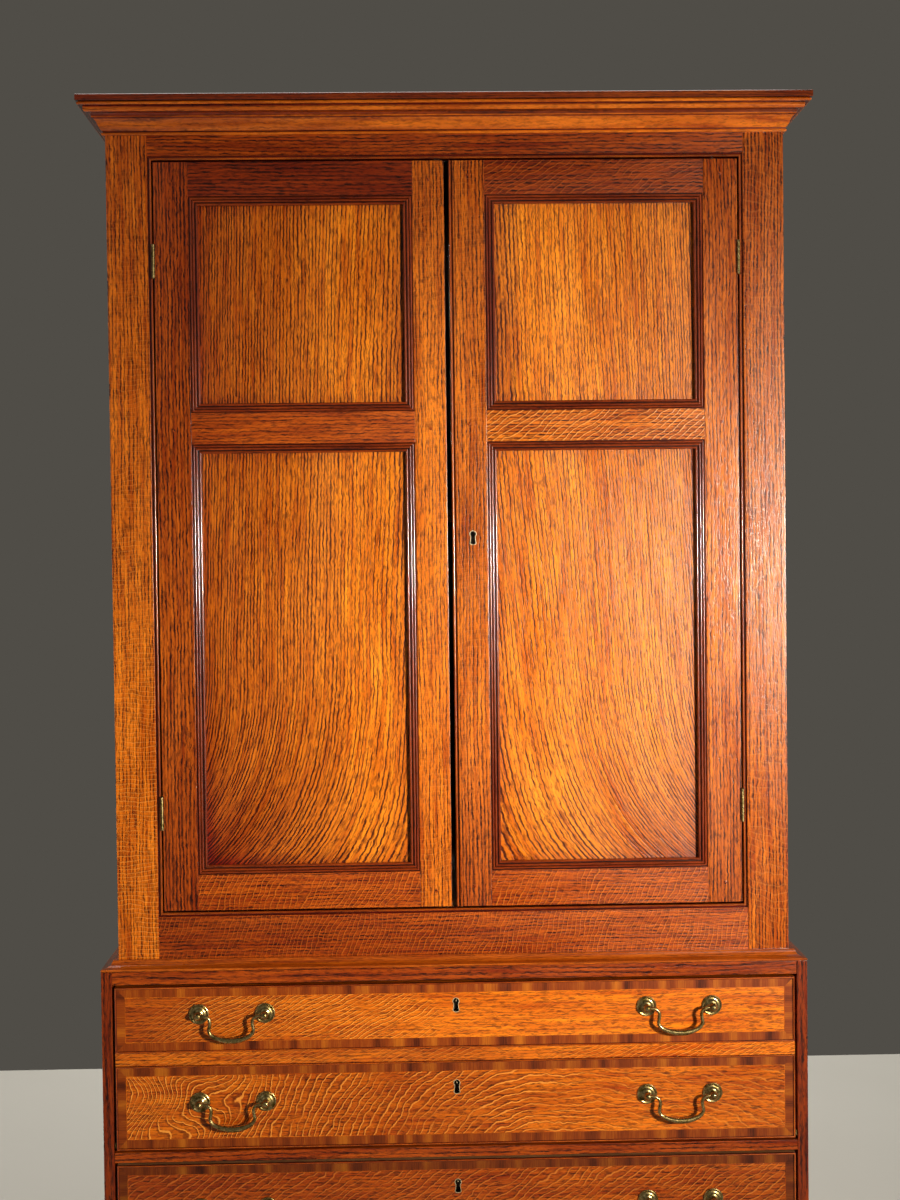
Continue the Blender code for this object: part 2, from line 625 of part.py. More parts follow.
def build_writing_drawer():
    """The tray that slides, its pigeonholes, and the fall with its two pivots and leather."""
    fall_low, fall_high = Z["fall"]
    under = Z["fall_bed"] + SEAT
    tray_body = body_at("writing_drawer", (0, CHEST_FRONT, under))
    tray = board("secretaire_tray", (-BOX_HALF, TRAY_FRONT, under), (BOX_HALF, BOX_REAR, fall_high - BOX_TOP_GAP),
                 OAK_INSIDE, tray_body)
    inner_rear = BOX_REAR - TRAY_WALL
    cut_boxes(tray, "tray_inside_cut", [((-TRAY_INSIDE, TRAY_FRONT - CUT_OVER, WRITING_LEVEL),
                                         (TRAY_INSIDE, inner_rear, fall_high))])
    cut_boxes(tray, "tray_under_cut", [((-TRAY_INSIDE, TRAY_FRONT - CUT_OVER, under - CUT_OVER),
                                        (TRAY_INSIDE, BOX_REAR + CUT_OVER, WRITING_LEVEL - TRAY_FLOOR))])
    gallery_front = inner_rear - SEAT - GALLERY_DEPTH
    build_gallery(gallery_front, inner_rear - SEAT, tray_body)
    fall_body = body_at("fall", FALL_AXIS, tray_body)
    fall_rear = CHEST_FRONT + FRONT_THICK
    strip_top = fall_high - STRIP_TOP
    strip_foot = strip_top - STRIP_HEIGHT
    field = FRONT_HALF - BEAD_WIDTH
    fields = [((-field, strip_top + BEAD_WIDTH), (field, fall_high - BEAD_WIDTH)),
              ((-FRONT_HALF - CUT_OVER, strip_foot), (FRONT_HALF + CUT_OVER, strip_top)),
              ((-field, fall_low + BEAD_WIDTH), (field, strip_foot - BEAD_WIDTH))]
    fall = beaded_front("fall_front", fall_low, fall_high, fields, fall_body)
    for number, drop in enumerate(FALL_KEYHOLE_DROPS):
        cut_keyhole(fall, "fall_keyhole_" + str(number + 1), 0, CHEST_FRONT, fall_high - drop)
    half = FRONT_HALF - LEATHER_BORDER
    board("writing_leather", (-half, fall_rear + SEAT, WRITING_LEVEL + LEATHER_BORDER),
          (half, fall_rear + SEAT + LEATHER_THICK, fall_high - LEATHER_BORDER), LEATHER, fall_body)
    for side, sign in (("left", -1), ("right", 1)):
        build_pivot("fall_pivot_" + side, sign, tray, fall, tray_body)
    for row, drop in FALL_HANDLE_DROPS.items():
        for side, sign in (("left", -1), ("right", 1)):
            build_handle("fall_" + row + "_" + side, sign * HANDLE_X, fall_high - drop, fall_body)


def build_gallery(front, rear, carrier):
    """A rack of pigeonholes at the back of the writing drawer."""
    half = TRAY_INSIDE - SEAT
    low = WRITING_LEVEL + SEAT
    high = low + GALLERY_HEIGHT
    gallery = board("pigeonholes", (-half, front, low), (half, rear, high), OAK_INSIDE, carrier)
    pitch_x = (2 * half - GALLERY_WALL) / GALLERY_COLUMNS
    pitch_z = (GALLERY_HEIGHT - GALLERY_WALL) / GALLERY_ROWS
    cells = []
    for column in range(GALLERY_COLUMNS):
        for row in range(GALLERY_ROWS):
            x = -half + GALLERY_WALL + column * pitch_x
            z = low + GALLERY_WALL + row * pitch_z
            cells.append(((x, front - CUT_OVER, z),
                          (x + pitch_x - GALLERY_WALL, rear - GALLERY_WALL, z + pitch_z - GALLERY_WALL)))
    cut_boxes(gallery, "pigeonhole_cut", cells)


def build_pivot(name, sign, tray, fall, carrier):
    """A brass pivot plate let into the tray's side, with a pin in the end of the fall."""
    y, z = FALL_AXIS.y, FALL_AXIS.z
    inner = FRONT_HALF + SEAT
    outer = inner + PIVOT_PLATE
    across = sorted((sign * inner, sign * outer))
    low = (across[0], y - PIVOT_PLATE_HALF, z - PIVOT_PLATE_HALF)
    high = (across[1], TRAY_FRONT + PIVOT_PLATE_TAIL, z + PIVOT_PLATE_HALF)
    plate = board(name, low, high, BRASS, carrier)
    pin = rod(name + "_pin", (sign * (inner + PIVOT_PLATE / 2), y, z),
              (-sign * (PIVOT_LENGTH + PIVOT_PLATE / 2), 0, 0), PIVOT_RADIUS)
    combine(plate, cutter_from(name + "_pin", pin), "UNION")
    bore = rod(name + "_bore", (sign * (FRONT_HALF + CUT_OVER), y, z),
               (-sign * (PIVOT_LENGTH + CUT_OVER), 0, 0), PIVOT_RADIUS + PIN_PLAY)
    combine(fall, cutter_from(name + "_bore", bore))
    recess = sorted((sign * (inner - SEAT), sign * (BOX_HALF + CUT_OVER)))
    cut_boxes(tray, name + "_recess", [((recess[0], TRAY_FRONT - CUT_OVER, low[2] - SEAT),
                                        (recess[1], high[1] + SEAT, high[2] + SEAT))])


def build_long_drawer(row):
    """A long drawer: its front and the box behind it, cut out from above, with two handles."""
    low, high = Z[row]
    under = Z[row + "_bed"] + SEAT
    name = row + "_long_drawer"
    body = body_at(name + "_slide", (0, CHEST_FRONT, under))
    lap = FRONT_THICK / 2
    front_rear = CHEST_FRONT + FRONT_THICK
    field = FRONT_HALF - BEAD_WIDTH
    drawer = beaded_front(name, low, high, [((-field, low + BEAD_WIDTH), (field, high - BEAD_WIDTH))], body)
    box = ((-BOX_HALF, front_rear - lap, under), (BOX_HALF, BOX_REAR, high - BOX_TOP_GAP))
    combine(drawer, cutter_from(name + "_box", boxes_mesh(name + "_box", [box], Vector())), "UNION")
    inside = BOX_HALF - BOX_WALL
    cut_boxes(drawer, name + "_inside_cut", [((-inside, front_rear, under + BOX_FLOOR),
                                              (inside, BOX_REAR - BOX_WALL, high))])
    cut_keyhole(drawer, name + "_keyhole", 0, CHEST_FRONT, high - LONG_KEYHOLE_DROPS[row])
    for side, sign in (("left", -1), ("right", 1)):
        build_handle(row + "_drawer_" + side, sign * HANDLE_X, high - LONG_HANDLE_DROPS[row], body)


def main():
    """Build the press, its doors, the chest, the writing drawer and the long drawers."""
    face_frame = build_press()
    sides = zip(("left", "right"), (-1, 1), MEETING_STILES)
    doors = {side: build_door(side, sign, stile, face_frame) for side, sign, stile in sides}
    build_lock(doors["right"])
    build_chest()
    build_writing_drawer()
    for row in LONG_DRAWER_HEIGHTS:
        build_long_drawer(row)


main()
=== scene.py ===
"""The looks of an old oak secretaire press.

A cupboard with two panelled doors stands on a chest. The chest's top drawer
is a writing drawer behind a fall front made as two dummy drawers, and two
long drawers lie under it. Sizes are millimetres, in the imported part's frame.
"""
import logging
import math
from dataclasses import dataclass, field
from enum import Enum
from itertools import count
from typing import Callable, Sequence

import bpy
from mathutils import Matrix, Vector


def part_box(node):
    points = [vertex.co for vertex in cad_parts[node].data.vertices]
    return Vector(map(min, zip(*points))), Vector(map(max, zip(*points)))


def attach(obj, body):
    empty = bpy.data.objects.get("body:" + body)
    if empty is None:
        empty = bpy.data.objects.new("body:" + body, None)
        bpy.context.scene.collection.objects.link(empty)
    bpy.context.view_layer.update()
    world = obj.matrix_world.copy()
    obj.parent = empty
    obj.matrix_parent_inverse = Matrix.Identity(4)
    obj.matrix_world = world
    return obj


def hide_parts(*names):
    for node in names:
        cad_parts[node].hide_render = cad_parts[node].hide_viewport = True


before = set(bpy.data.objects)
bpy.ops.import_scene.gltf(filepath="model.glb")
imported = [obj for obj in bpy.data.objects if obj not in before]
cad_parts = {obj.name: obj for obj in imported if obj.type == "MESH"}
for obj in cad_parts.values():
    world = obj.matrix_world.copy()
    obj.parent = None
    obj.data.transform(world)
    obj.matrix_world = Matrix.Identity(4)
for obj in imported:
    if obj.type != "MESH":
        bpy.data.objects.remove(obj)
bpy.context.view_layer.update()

MM = 0.001
X, Y, Z = Vector((1, 0, 0)), Vector((0, 1, 0)), Vector((0, 0, 1))
log = logging.getLogger("press")

# Every board has a number, and even steps scatter the numbers over the log that
# the boards are sawn from, in metres, and over a range of tones.
NUMBERS = count(1)
LOG_STEPS = ((0.7549, 9), (0.5698, 7), (0.8192, 5))
TONE_STEP, TONE_RANGE = 0.618034, 0.16
RING_LEAN = 0.7  # how far the rings move across for their depth
WAVE = 0.31416  # metres from band to band in a wave texture of scale 1

# Sizes that several pieces share
DRAWER_FACE = -254.25  # y of the drawers' fronts
DRAWER_HALF = 496.0  # half a drawer front's width
DRAWER_THICK = 22.0  # a drawer front's thickness
VENEER = 1.2  # thickness of its veneer
OPENING_HALF = 427.0  # half the door opening's width
HINGE_EDGE = 424.5  # x of a door's hinge edge
HINGE_AXIS = (425.75, -232.75)  # x and y of the doors' hinges
QUIRK_WIDTH = 6.0  # a quirked bead's width
HINGE_ENDS = ("lower", "upper")
PLANKS = 6  # planks in each back
PLANK_GAP = 1.2  # between two of them

Socket = bpy.types.NodeSocket
Tree = bpy.types.NodeTree
Solid = bpy.types.Object
Outline = Sequence[tuple[float, float]]
Marks = Sequence[tuple[float, float]]
Shade = Callable[[Vector], float]
Bend = Callable[[Vector], float]
Flow = Callable[[Vector], tuple[float, float]]


class Way(Enum):
    """Which axes a board's grain runs along, lies across and goes through."""

    UPRIGHT = (2, 0, 1)
    LEVEL = (0, 2, 1)
    SIDE_UPRIGHT = (2, 1, 0)
    SIDE_LEVEL = (1, 2, 0)
    SHELF = (0, 1, 2)
    DEPTH = (1, 0, 2)


class Side(Enum):
    """The two halves of the front, each with the sign of its x."""

    LEFT = -1
    RIGHT = 1

    @property
    def word(self) -> str:
        """The side's name as the nodes spell it."""
        return self.name.lower()


def linear(colour: str) -> tuple[float, float, float, float]:
    """Turn an sRGB hex colour to linear light.

    Args:
        colour: Six hex digits after a hash.

    Returns:
        Linear red, green, blue and an alpha of 1.
    """
    parts = [int(colour[i:i + 2], 16) / 255 for i in (1, 3, 5)]
    return (*[p / 12.92 if p <= 0.04045 else ((p + 0.055) / 1.055) ** 2.4 for p in parts], 1.0)


def add(tree: Tree, kind: str, inputs: dict | None = None,
        stops: Sequence[tuple[float, str]] = (), **settings: object) -> bpy.types.Node:
    """Add a node with its settings and links.

    Args:
        tree: The material's or world's node tree.
        kind: The node's type name.
        inputs: Socket name or number to a value or a socket to link from.
        stops: A colour ramp's places and hex colours.
        settings: Attributes of the node itself.

    Returns:
        The new node.
    """
    node = tree.nodes.new(kind)
    for key, value in settings.items():
        setattr(node, key, value)
    for key, value in (inputs or {}).items():
        if isinstance(value, Socket):
            tree.links.new(value, node.inputs[key])
        else:
            node.inputs[key].default_value = value
    if stops:
        marks = node.color_ramp.elements
        while len(marks) < len(stops):
            marks.new(0.5)
        for mark, (place, colour) in zip(marks, stops):
            mark.position, mark.color = place, linear(colour)
    return node


def fresh(name: str) -> tuple[bpy.types.Material, Tree]:
    """Start a material with an empty node tree.

    Args:
        name: The material's name.

    Returns:
        The material and its tree.
    """
    material = bpy.data.materials.new(name)
    material.use_nodes = True
    material.node_tree.nodes.clear()
    return material, material.node_tree


def stretch(along: float, across: float) -> tuple[float, float, float]:
    """A mapping's scales for a pattern of this length and width in millimetres."""
    return 1 / (along * MM), 1 / (across * MM), 1 / (across * MM)


BLACK, WHITE = "#000000", "#ffffff"


@dataclass(frozen=True)
class OakFinish:
    """Sawn oak, stained by age and waxed: year rings, pores, ray fleck and a soft shine.

    The pattern follows two attributes of the piece. "grain" holds metres along,
    across and through its own board. "look" holds a lift or drop in depth, the
    count of fleck ribbons crossed so far, and how strongly they show. Ring is the
    pitch of the year rings and tremor their waver, in millimetres, and swirl how
    many ribbons the figure strays.
    """

    name: str
    deep: str
    body: str
    pale: str
    ring: float = 4.6
    ring_depth: float = 0.75
    pore_depth: float = 0.5
    tremor: float = 2.6
    swirl: float = 0.0
    fleck: str = "#f8a044"
    rough: float = 0.29
    wax: float = 0.1
    gloss: float = 0.22
    relief: float = 0.2

    def make(self) -> bpy.types.Material:
        """Build the material.

        Returns:
            The finished material.
        """
        material, tree = fresh(self.name)
        grain = add(tree, "ShaderNodeAttribute", attribute_name="grain").outputs["Vector"]
        look = add(tree, "ShaderNodeAttribute", attribute_name="look").outputs["Vector"]
        tone, crossed, show = add(tree, "ShaderNodeSeparateXYZ", {0: look}).outputs
        drift = self.wander(tree, grain)
        dark = height = self.dark_lines(tree, drift, tone)
        clouds, paleness = self.clouds(tree, grain, drift)
        colour = add(tree, "ShaderNodeMix", {0: paleness, 6: linear(self.body), 7: linear(self.pale)},
                     data_type="RGBA").outputs[2]
        colour = add(tree, "ShaderNodeMix", {0: dark, 6: colour, 7: linear(self.deep)}, data_type="RGBA").outputs[2]
        if self.swirl:
            ribbon, lee = self.ribbons(tree, grain, crossed, show)
            lee = add(tree, "ShaderNodeMath", {0: lee, 1: 0.55}, operation="MULTIPLY").outputs[0]
            colour = add(tree, "ShaderNodeMix", {0: lee, 6: colour, 7: linear(self.deep)}, data_type="RGBA").outputs[2]
            colour = add(tree, "ShaderNodeMix", {0: ribbon, 6: colour, 7: linear(self.fleck)},
                         data_type="RGBA").outputs[2]
            height = add(tree, "ShaderNodeMath", {0: dark, 1: ribbon}, operation="SUBTRACT").outputs[0]
        # Darker wood is redder, paler wood more golden, and none is quite black.
        gain = add(tree, "ShaderNodeVectorMath", {0: tone, 1: (0.42, 0.62, 0.66), 2: (1, 1, 1)},
                   operation="MULTIPLY_ADD").outputs[0]
        gain = add(tree, "ShaderNodeVectorMath", {0: gain, 1: (0.06, 0.05, 0.05)}, operation="MAXIMUM").outputs[0]
        colour = add(tree, "ShaderNodeVectorMath", {0: colour, 1: gain}, operation="MULTIPLY").outputs[0]
        rough = add(tree, "ShaderNodeMapRange", {0: clouds, 1: 0.3, 2: 0.7, 3: self.rough - 0.05, 4: self.rough + 0.08})
        bump = add(tree, "ShaderNodeBump", {"Strength": self.relief, "Distance": 0.5 * MM, "Height": height},
                   invert=True)
        shader = add(tree, "ShaderNodeBsdfPrincipled", {
            "Base Color": colour, "Roughness": rough.outputs[0], "Normal": bump.outputs[0],
            "Coat Weight": self.wax, "Coat Roughness": self.gloss, "IOR": 1.48})
        add(tree, "ShaderNodeOutputMaterial", {"Surface": shader.outputs[0]})
        return material

    def wander(self, tree: Tree, grain: Socket) -> Socket:
        """Let the grain wander over a hand's breadth, and tremble by a millimetre over a finger's breadth.

        Args:
            tree: The material's tree.
            grain: The place in the board.

        Returns:
            The place with its drift.
        """
        slow = add(tree, "ShaderNodeMapping", {"Vector": grain, "Scale": stretch(285.714, 62.5)}).outputs[0]
        slow = add(tree, "ShaderNodeTexNoise", {"Vector": slow, "Scale": 1.0, "Detail": 2.0}).outputs["Color"]
        drift = add(tree, "ShaderNodeVectorMath", {0: slow, 1: (20 * MM, 14 * MM, 14 * MM), 2: grain},
                    operation="MULTIPLY_ADD").outputs[0]
        quick = add(tree, "ShaderNodeMapping", {"Vector": grain, "Scale": stretch(9.09091, 16.6667)}).outputs[0]
        quick = add(tree, "ShaderNodeTexNoise", {"Vector": quick, "Scale": 1.0, "Detail": 2.0}).outputs["Color"]
        return add(tree, "ShaderNodeVectorMath", {0: quick, 1: (0, self.tremor * MM, self.tremor * MM), 2: drift},
                   operation="MULTIPLY_ADD").outputs[0]

    def dark_lines(self, tree: Tree, drift: Socket, tone: Socket) -> Socket:
        """Draw the year rings, each a dark porous line before denser and paler wood, and the pores.

        Args:
            tree: The material's tree.
            drift: The place in the board, with its drift.
            tone: The lift or drop in depth.

        Returns:
            How dark the wood is, from 0 to 1.
        """
        # The rings change twenty times slower along the board than across it.
        along = add(tree, "ShaderNodeMapping", {"Vector": drift, "Scale": (0.05, 1, 0.5)}).outputs[0]
        rings = add(tree, "ShaderNodeTexWave", {
            "Vector": along, "Scale": WAVE / (self.ring * MM), "Distortion": 3.0, "Detail": 2.0,
            "Detail Scale": 0.7, "Detail Roughness": 0.6}, bands_direction="Y", wave_profile="SAW").outputs["Fac"]
        # Browner wood has broader dark lines.
        rings = add(tree, "ShaderNodeMath", {0: tone, 1: 0.2, 2: rings}, operation="MULTIPLY_ADD").outputs[0]
        rings = add(tree, "ShaderNodeValToRGB", {0: rings}, ((0, WHITE), (0.3, WHITE), (0.42, BLACK))).outputs[0]
        # The lines break into dashes two fingers long.
        dash = add(tree, "ShaderNodeMapping", {"Vector": drift, "Scale": stretch(55.5556, 4.54545)}).outputs[0]
        dash = add(tree, "ShaderNodeTexNoise", {"Vector": dash, "Scale": 1.0, "Detail": 1.5}).outputs["Fac"]
        dash = add(tree, "ShaderNodeMapRange", {0: dash, 1: 0.38, 2: 0.56, 3: 0.2, 4: 1.0}).outputs[0]
        rings = add(tree, "ShaderNodeMath", {0: rings, 1: dash}, operation="MULTIPLY").outputs[0]
        rings = add(tree, "ShaderNodeMath", {0: rings, 1: self.ring_depth}, operation="MULTIPLY").outputs[0]
        # Pores are 0.3 mm wide on real oak; they are drawn 1 to 2 mm wide so that they show.
        pores = add(tree, "ShaderNodeMapping", {"Vector": drift, "Scale": stretch(13.3333, 2.0)}).outputs[0]
        pores = add(tree, "ShaderNodeTexNoise", {"Vector": pores, "Scale": 1.0, "Detail": 2.0,
                                                 "Roughness": 0.6}).outputs["Fac"]
        pores = add(tree, "ShaderNodeMapRange", {0: pores, 1: 0.48, 2: 0.62, 3: 0.0, 4: self.pore_depth}).outputs[0]
        return add(tree, "ShaderNodeMath", {0: rings, 1: pores}, operation="ADD", use_clamp=True).outputs[0]

    @staticmethod
    def clouds(tree: Tree, grain: Socket, drift: Socket) -> tuple[Socket, Socket]:
        """Draw slow clouds of browner and paler wood, a few hands long, with finer streaks in them.

        Args:
            tree: The material's tree.
            grain: The place in the board.
            drift: The same with its drift.

        Returns:
            The clouds alone, and how pale the wood is with the streaks.
        """
        clouds = add(tree, "ShaderNodeMapping", {"Vector": grain, "Scale": stretch(454.545, 90.9091)}).outputs[0]
        clouds = add(tree, "ShaderNodeTexNoise", {"Vector": clouds, "Scale": 1.0, "Detail": 4.0,
                                                  "Roughness": 0.6}).outputs["Fac"]
        streak = add(tree, "ShaderNodeMapping", {"Vector": drift, "Scale": stretch(111.111, 6.66667)}).outputs[0]
        streak = add(tree, "ShaderNodeTexNoise", {"Vector": streak, "Scale": 1.0, "Detail": 3.0}).outputs["Fac"]
        both = add(tree, "ShaderNodeMath", {0: streak, 1: 1.4, 2: clouds}, operation="MULTIPLY_ADD").outputs[0]
        return clouds, add(tree, "ShaderNodeMapRange", {0: both, 1: 0.86, 2: 1.52}).outputs[0]

    def ribbons(self, tree: Tree, grain: Socket, crossed: Socket, show: Socket) -> list[Socket]:
        """Draw ray fleck: thin pale ribbons that waver, each with a dark lee, broken into patches.

        Args:
            tree: The material's tree.
            grain: The place in the board.
            crossed: The count of ribbons crossed so far.
            show: How strongly they show.

        Returns:
            The ribbons and their lees.
        """
        for size, cycles in ((71.4286, 2 * self.swirl), (25.0, 1.0), (8.33333, 0.4)):
            bend = add(tree, "ShaderNodeTexNoise", {"Vector": grain, "Scale": 1 / (size * MM),
                                                    "Detail": 1.0}).outputs["Fac"]
            crossed = add(tree, "ShaderNodeMath", {0: bend, 1: cycles, 2: crossed}, operation="MULTIPLY_ADD").outputs[0]
        patch = add(tree, "ShaderNodeMapping", {"Vector": grain, "Scale": stretch(62.5, 33.3333)}).outputs[0]
        patch = add(tree, "ShaderNodeTexNoise", {"Vector": patch, "Scale": 1.0, "Detail": 2.0}).outputs["Fac"]
        patch = add(tree, "ShaderNodeMapRange", {0: patch, 1: 0.28, 2: 0.5}).outputs[0]
        patch = add(tree, "ShaderNodeMath", {0: patch, 1: show}, operation="MULTIPLY").outputs[0]
        masks = []
        for turn, low, high in ((0.0, 0.8, 0.97), (-1.1, 0.45, 1.0)):
            wave = add(tree, "ShaderNodeMath", {0: crossed, 1: 2 * math.pi, 2: turn},
                       operation="MULTIPLY_ADD").outputs[0]
            wave = add(tree, "ShaderNodeMath", {0: wave}, operation="SINE").outputs[0]
            wave = add(tree, "ShaderNodeMapRange", {0: wave, 1: low, 2: high}).outputs[0]
            masks.append(add(tree, "ShaderNodeMath", {0: wave, 1: patch}, operation="MULTIPLY").outputs[0])
        return masks


@dataclass(frozen=True)
class CrossbandFinish:
    """Crossbanding: short lengths of red-brown veneer, a block long, with the grain across the band."""

    name: str = "crossbanded oak veneer, waxed"
    deep: str = "#481600"
    body: str = "#8c3a04"
    pale: str = "#c06a12"
    block: float = 26.0

    def make(self) -> bpy.types.Material:
        """Build the material.

        Returns:
            The finished material.
        """
        material, tree = fresh(self.name)
        grain = add(tree, "ShaderNodeAttribute", attribute_name="grain").outputs["Vector"]
        look = add(tree, "ShaderNodeAttribute", attribute_name="look").outputs["Vector"]
        tone = add(tree, "ShaderNodeSeparateXYZ", {0: look}).outputs[0]
        run = add(tree, "ShaderNodeSeparateXYZ", {0: grain}).outputs["Y"]
        # Each short length has its own depth, and they fade into each other under old wax.
        blocks = add(tree, "ShaderNodeTexNoise", {"W": run, "Scale": 1 / (self.block * MM), "Detail": 1.0},
                     noise_dimensions="1D").outputs["Fac"]
        # Hair lines across the band, drawn 1 mm wide so that they show.
        lines = add(tree, "ShaderNodeMapping", {"Vector": grain, "Scale": stretch(22.2222, 1.42857)}).outputs[0]
        lines = add(tree, "ShaderNodeTexNoise", {"Vector": lines, "Scale": 1.0, "Detail": 2.0}).outputs["Fac"]
        depth = add(tree, "ShaderNodeMath", {0: lines, 1: 0.5, 2: blocks}, operation="MULTIPLY_ADD").outputs[0]
        depth = add(tree, "ShaderNodeMapRange", {0: depth, 1: 0.36, 2: 1.14}).outputs[0]
        colour = add(tree, "ShaderNodeValToRGB", {0: depth},
                     ((0.05, self.deep), (0.5, self.body), (0.95, self.pale))).outputs[0]
        gain = add(tree, "ShaderNodeMath", {0: tone, 1: 0.55, 2: 1.0}, operation="MULTIPLY_ADD").outputs[0]
        colour = add(tree, "ShaderNodeVectorMath", {0: colour, "Scale": gain}, operation="SCALE").outputs[0]
        bump = add(tree, "ShaderNodeBump", {"Strength": 0.15, "Distance": 0.3 * MM, "Height": lines})
        rough = add(tree, "ShaderNodeMapRange", {0: lines, 3: 0.3, 4: 0.45})
        shader = add(tree, "ShaderNodeBsdfPrincipled", {
            "Base Color": colour, "Roughness": rough.outputs[0], "Normal": bump.outputs[0],
            "Coat Weight": 0.06, "Coat Roughness": 0.22, "IOR": 1.42})
        add(tree, "ShaderNodeOutputMaterial", {"Surface": shader.outputs[0]})
        return material


@dataclass(frozen=True)
class MetalFinish:
    """Old cast or forged metal: bright where it is rubbed, dull and darker in soft blotches.

    Blotch and grit are sizes in millimetres.
    """

    name: str
    dull: str
    bright: str
    blotch: float = 9.0
    grit: float = 1.11111
    polish: float = 0.24
    tarnish: float = 0.46

    def make(self) -> bpy.types.Material:
        """Build the material.

        Returns:
            The finished material.
        """
        material, tree = fresh(self.name)
        place = add(tree, "ShaderNodeTexCoord").outputs["Object"]
        soft = add(tree, "ShaderNodeTexNoise", {"Vector": place, "Scale": 1 / (self.blotch * MM), "Detail": 3.0,
                                                "Roughness": 0.6}).outputs["Fac"]
        wear = add(tree, "ShaderNodeMapRange", {0: soft, 1: 0.36, 2: 0.62}).outputs[0]
        colour = add(tree, "ShaderNodeMix", {0: wear, 6: linear(self.dull), 7: linear(self.bright)},
                     data_type="RGBA").outputs[2]
        fine = add(tree, "ShaderNodeTexNoise", {"Vector": place, "Scale": 1 / (self.grit * MM),
                                                "Detail": 2.0}).outputs["Fac"]
        rough = add(tree, "ShaderNodeMapRange", {0: wear, 3: self.tarnish, 4: self.polish}).outputs[0]
        bump = add(tree, "ShaderNodeBump", {"Strength": 0.12, "Distance": 0.3 * MM, "Height": fine})
        shader = add(tree, "ShaderNodeBsdfPrincipled", {"Base Color": colour, "Roughness": rough, "Metallic": 1.0,
                                                        "Normal": bump.outputs[0]})
        add(tree, "ShaderNodeOutputMaterial", {"Surface": shader.outputs[0]})
        return material


@dataclass(frozen=True)
class LeatherFinish:
    """Dyed hide for a writing surface: fine pebbled grain, rubbed paler in patches.

    Pebble and patch are sizes in millimetres.
    """

    name: str = "dyed calf leather"
    deep: str = "#1c2a18"
    pale: str = "#40512f"
    pebble: float = 1.6
    patch: float = 111.111

    def make(self) -> bpy.types.Material:
        """Build the material.

        Returns:
            The finished material.
        """
        material, tree = fresh(self.name)
        place = add(tree, "ShaderNodeTexCoord").outputs["Object"]
        # Real pebbles are half as wide; they are drawn this coarse so that they show.
        pebbles = add(tree, "ShaderNodeTexVoronoi", {"Vector": place,
                                                     "Scale": 1 / (self.pebble * MM)}).outputs["Distance"]
        rub = add(tree, "ShaderNodeTexNoise", {"Vector": place, "Scale": 1 / (self.patch * MM),
                                               "Detail": 4.0}).outputs["Fac"]
        rub = add(tree, "ShaderNodeMapRange", {0: rub, 1: 0.35, 2: 0.7}).outputs[0]
        colour = add(tree, "ShaderNodeMix", {0: rub, 6: linear(self.deep), 7: linear(self.pale)},
                     data_type="RGBA").outputs[2]
        rough = add(tree, "ShaderNodeMapRange", {0: rub, 3: 0.6, 4: 0.42})
        bump = add(tree, "ShaderNodeBump", {"Strength": 0.4, "Distance": 0.4 * MM, "Height": pebbles}, invert=True)
        shader = add(tree, "ShaderNodeBsdfPrincipled", {"Base Color": colour, "Roughness": rough.outputs[0],
                                                        "Normal": bump.outputs[0]})
        add(tree, "ShaderNodeOutputMaterial", {"Surface": shader.outputs[0]})
        return material


class Finish(Enum):
    """Every finish on the press."""

    # Quarter-sawn oak of stiles and rails: fine dark lines, and pale fleck that wavers across them.
    FRAME = OakFinish("quarter-sawn oak, waxed", "#421200", "#b24800", "#f68416", ring=5.2, ring_depth=0.75,
                      pore_depth=0.6, swirl=1.7, rough=0.25, wax=0.5, gloss=0.19)
    # The same oak, browner and redder from smoke and polish, on rails and the lower case.
    DARK = OakFinish("dark oak, waxed", "#340800", "#8e2e00", "#c85a08", ring=5.2, ring_depth=0.65,
                     pore_depth=0.6, swirl=1.7, fleck="#d87018")
    # Moulded edges: dark wood rubbed to a shine, so that each round carries a thin light.
    BEAD = OakFinish("dark oak mouldings, polished", "#240600", "#8a3000", "#c8600c", ring=3.8, ring_depth=0.4,
                     pore_depth=0.35, rough=0.22, wax=0.8, gloss=0.12, relief=0.06)
    # Plain-sawn oak of the door panels: trembling dark pore lines on honey wood.
    PANEL = OakFinish("plain-sawn oak panel, waxed", "#4a1600", "#c45600", "#fc9018", ring=5.6, ring_depth=0.95,
                      pore_depth=0.6, tremor=3.6)
    # Veneer of the drawer fronts: red-brown oak with long bright ribbons of ray fleck.
    FRONT = OakFinish("figured oak veneer, waxed", "#3c0e00", "#b04200", "#f07c0c", ring=5.0, ring_depth=0.3,
                      pore_depth=0.6, swirl=1.1, fleck="#fa9c3a")
    # Dry unpolished oak inside the cases and drawers.
    INSIDE = OakFinish("dry oak, unpolished", "#54341a", "#966638", "#b98c5a", ring=5, ring_depth=0.6, pore_depth=0.35,
                       rough=0.62, wax=0.0, relief=0.35)
    # Banding round the drawer faces: short dark and pale lengths, like a barred ribbon.
    CROSSBAND = CrossbandFinish()
    # Lacquered brass gone olive, bright on the swells of the bails and roses.
    BRASS = MetalFinish("old cast brass", "#625428", "#cdb67c", blotch=6, polish=0.22, tarnish=0.42)
    # Sheet brass in the keyholes, rubbed by the key.
    LINER = MetalFinish("rubbed sheet brass", "#b8a67a", "#f0e2bc", blotch=4, polish=0.5, tarnish=0.6)
    # Forged iron of the lock, brown with old oil; also the dark sleeve in each keyhole, put there as painted shade.
    IRON = MetalFinish("oiled wrought iron", "#2a221c", "#5b534c", blotch=12, polish=0.38, tarnish=0.6)
    # Hide on the fall: dull dark green, with paler patches where it was written on.
    LEATHER = LeatherFinish()
    # Gold leaf pressed into the leather's border.
    GILT = MetalFinish("gold leaf tooling", "#8a6a2c", "#d2ac5c", blotch=6, polish=0.3)

    def material(self) -> bpy.types.Material:
        """The finish's material, made at its first use."""
        return bpy.data.materials.get(self.value.name) or self.value.make()


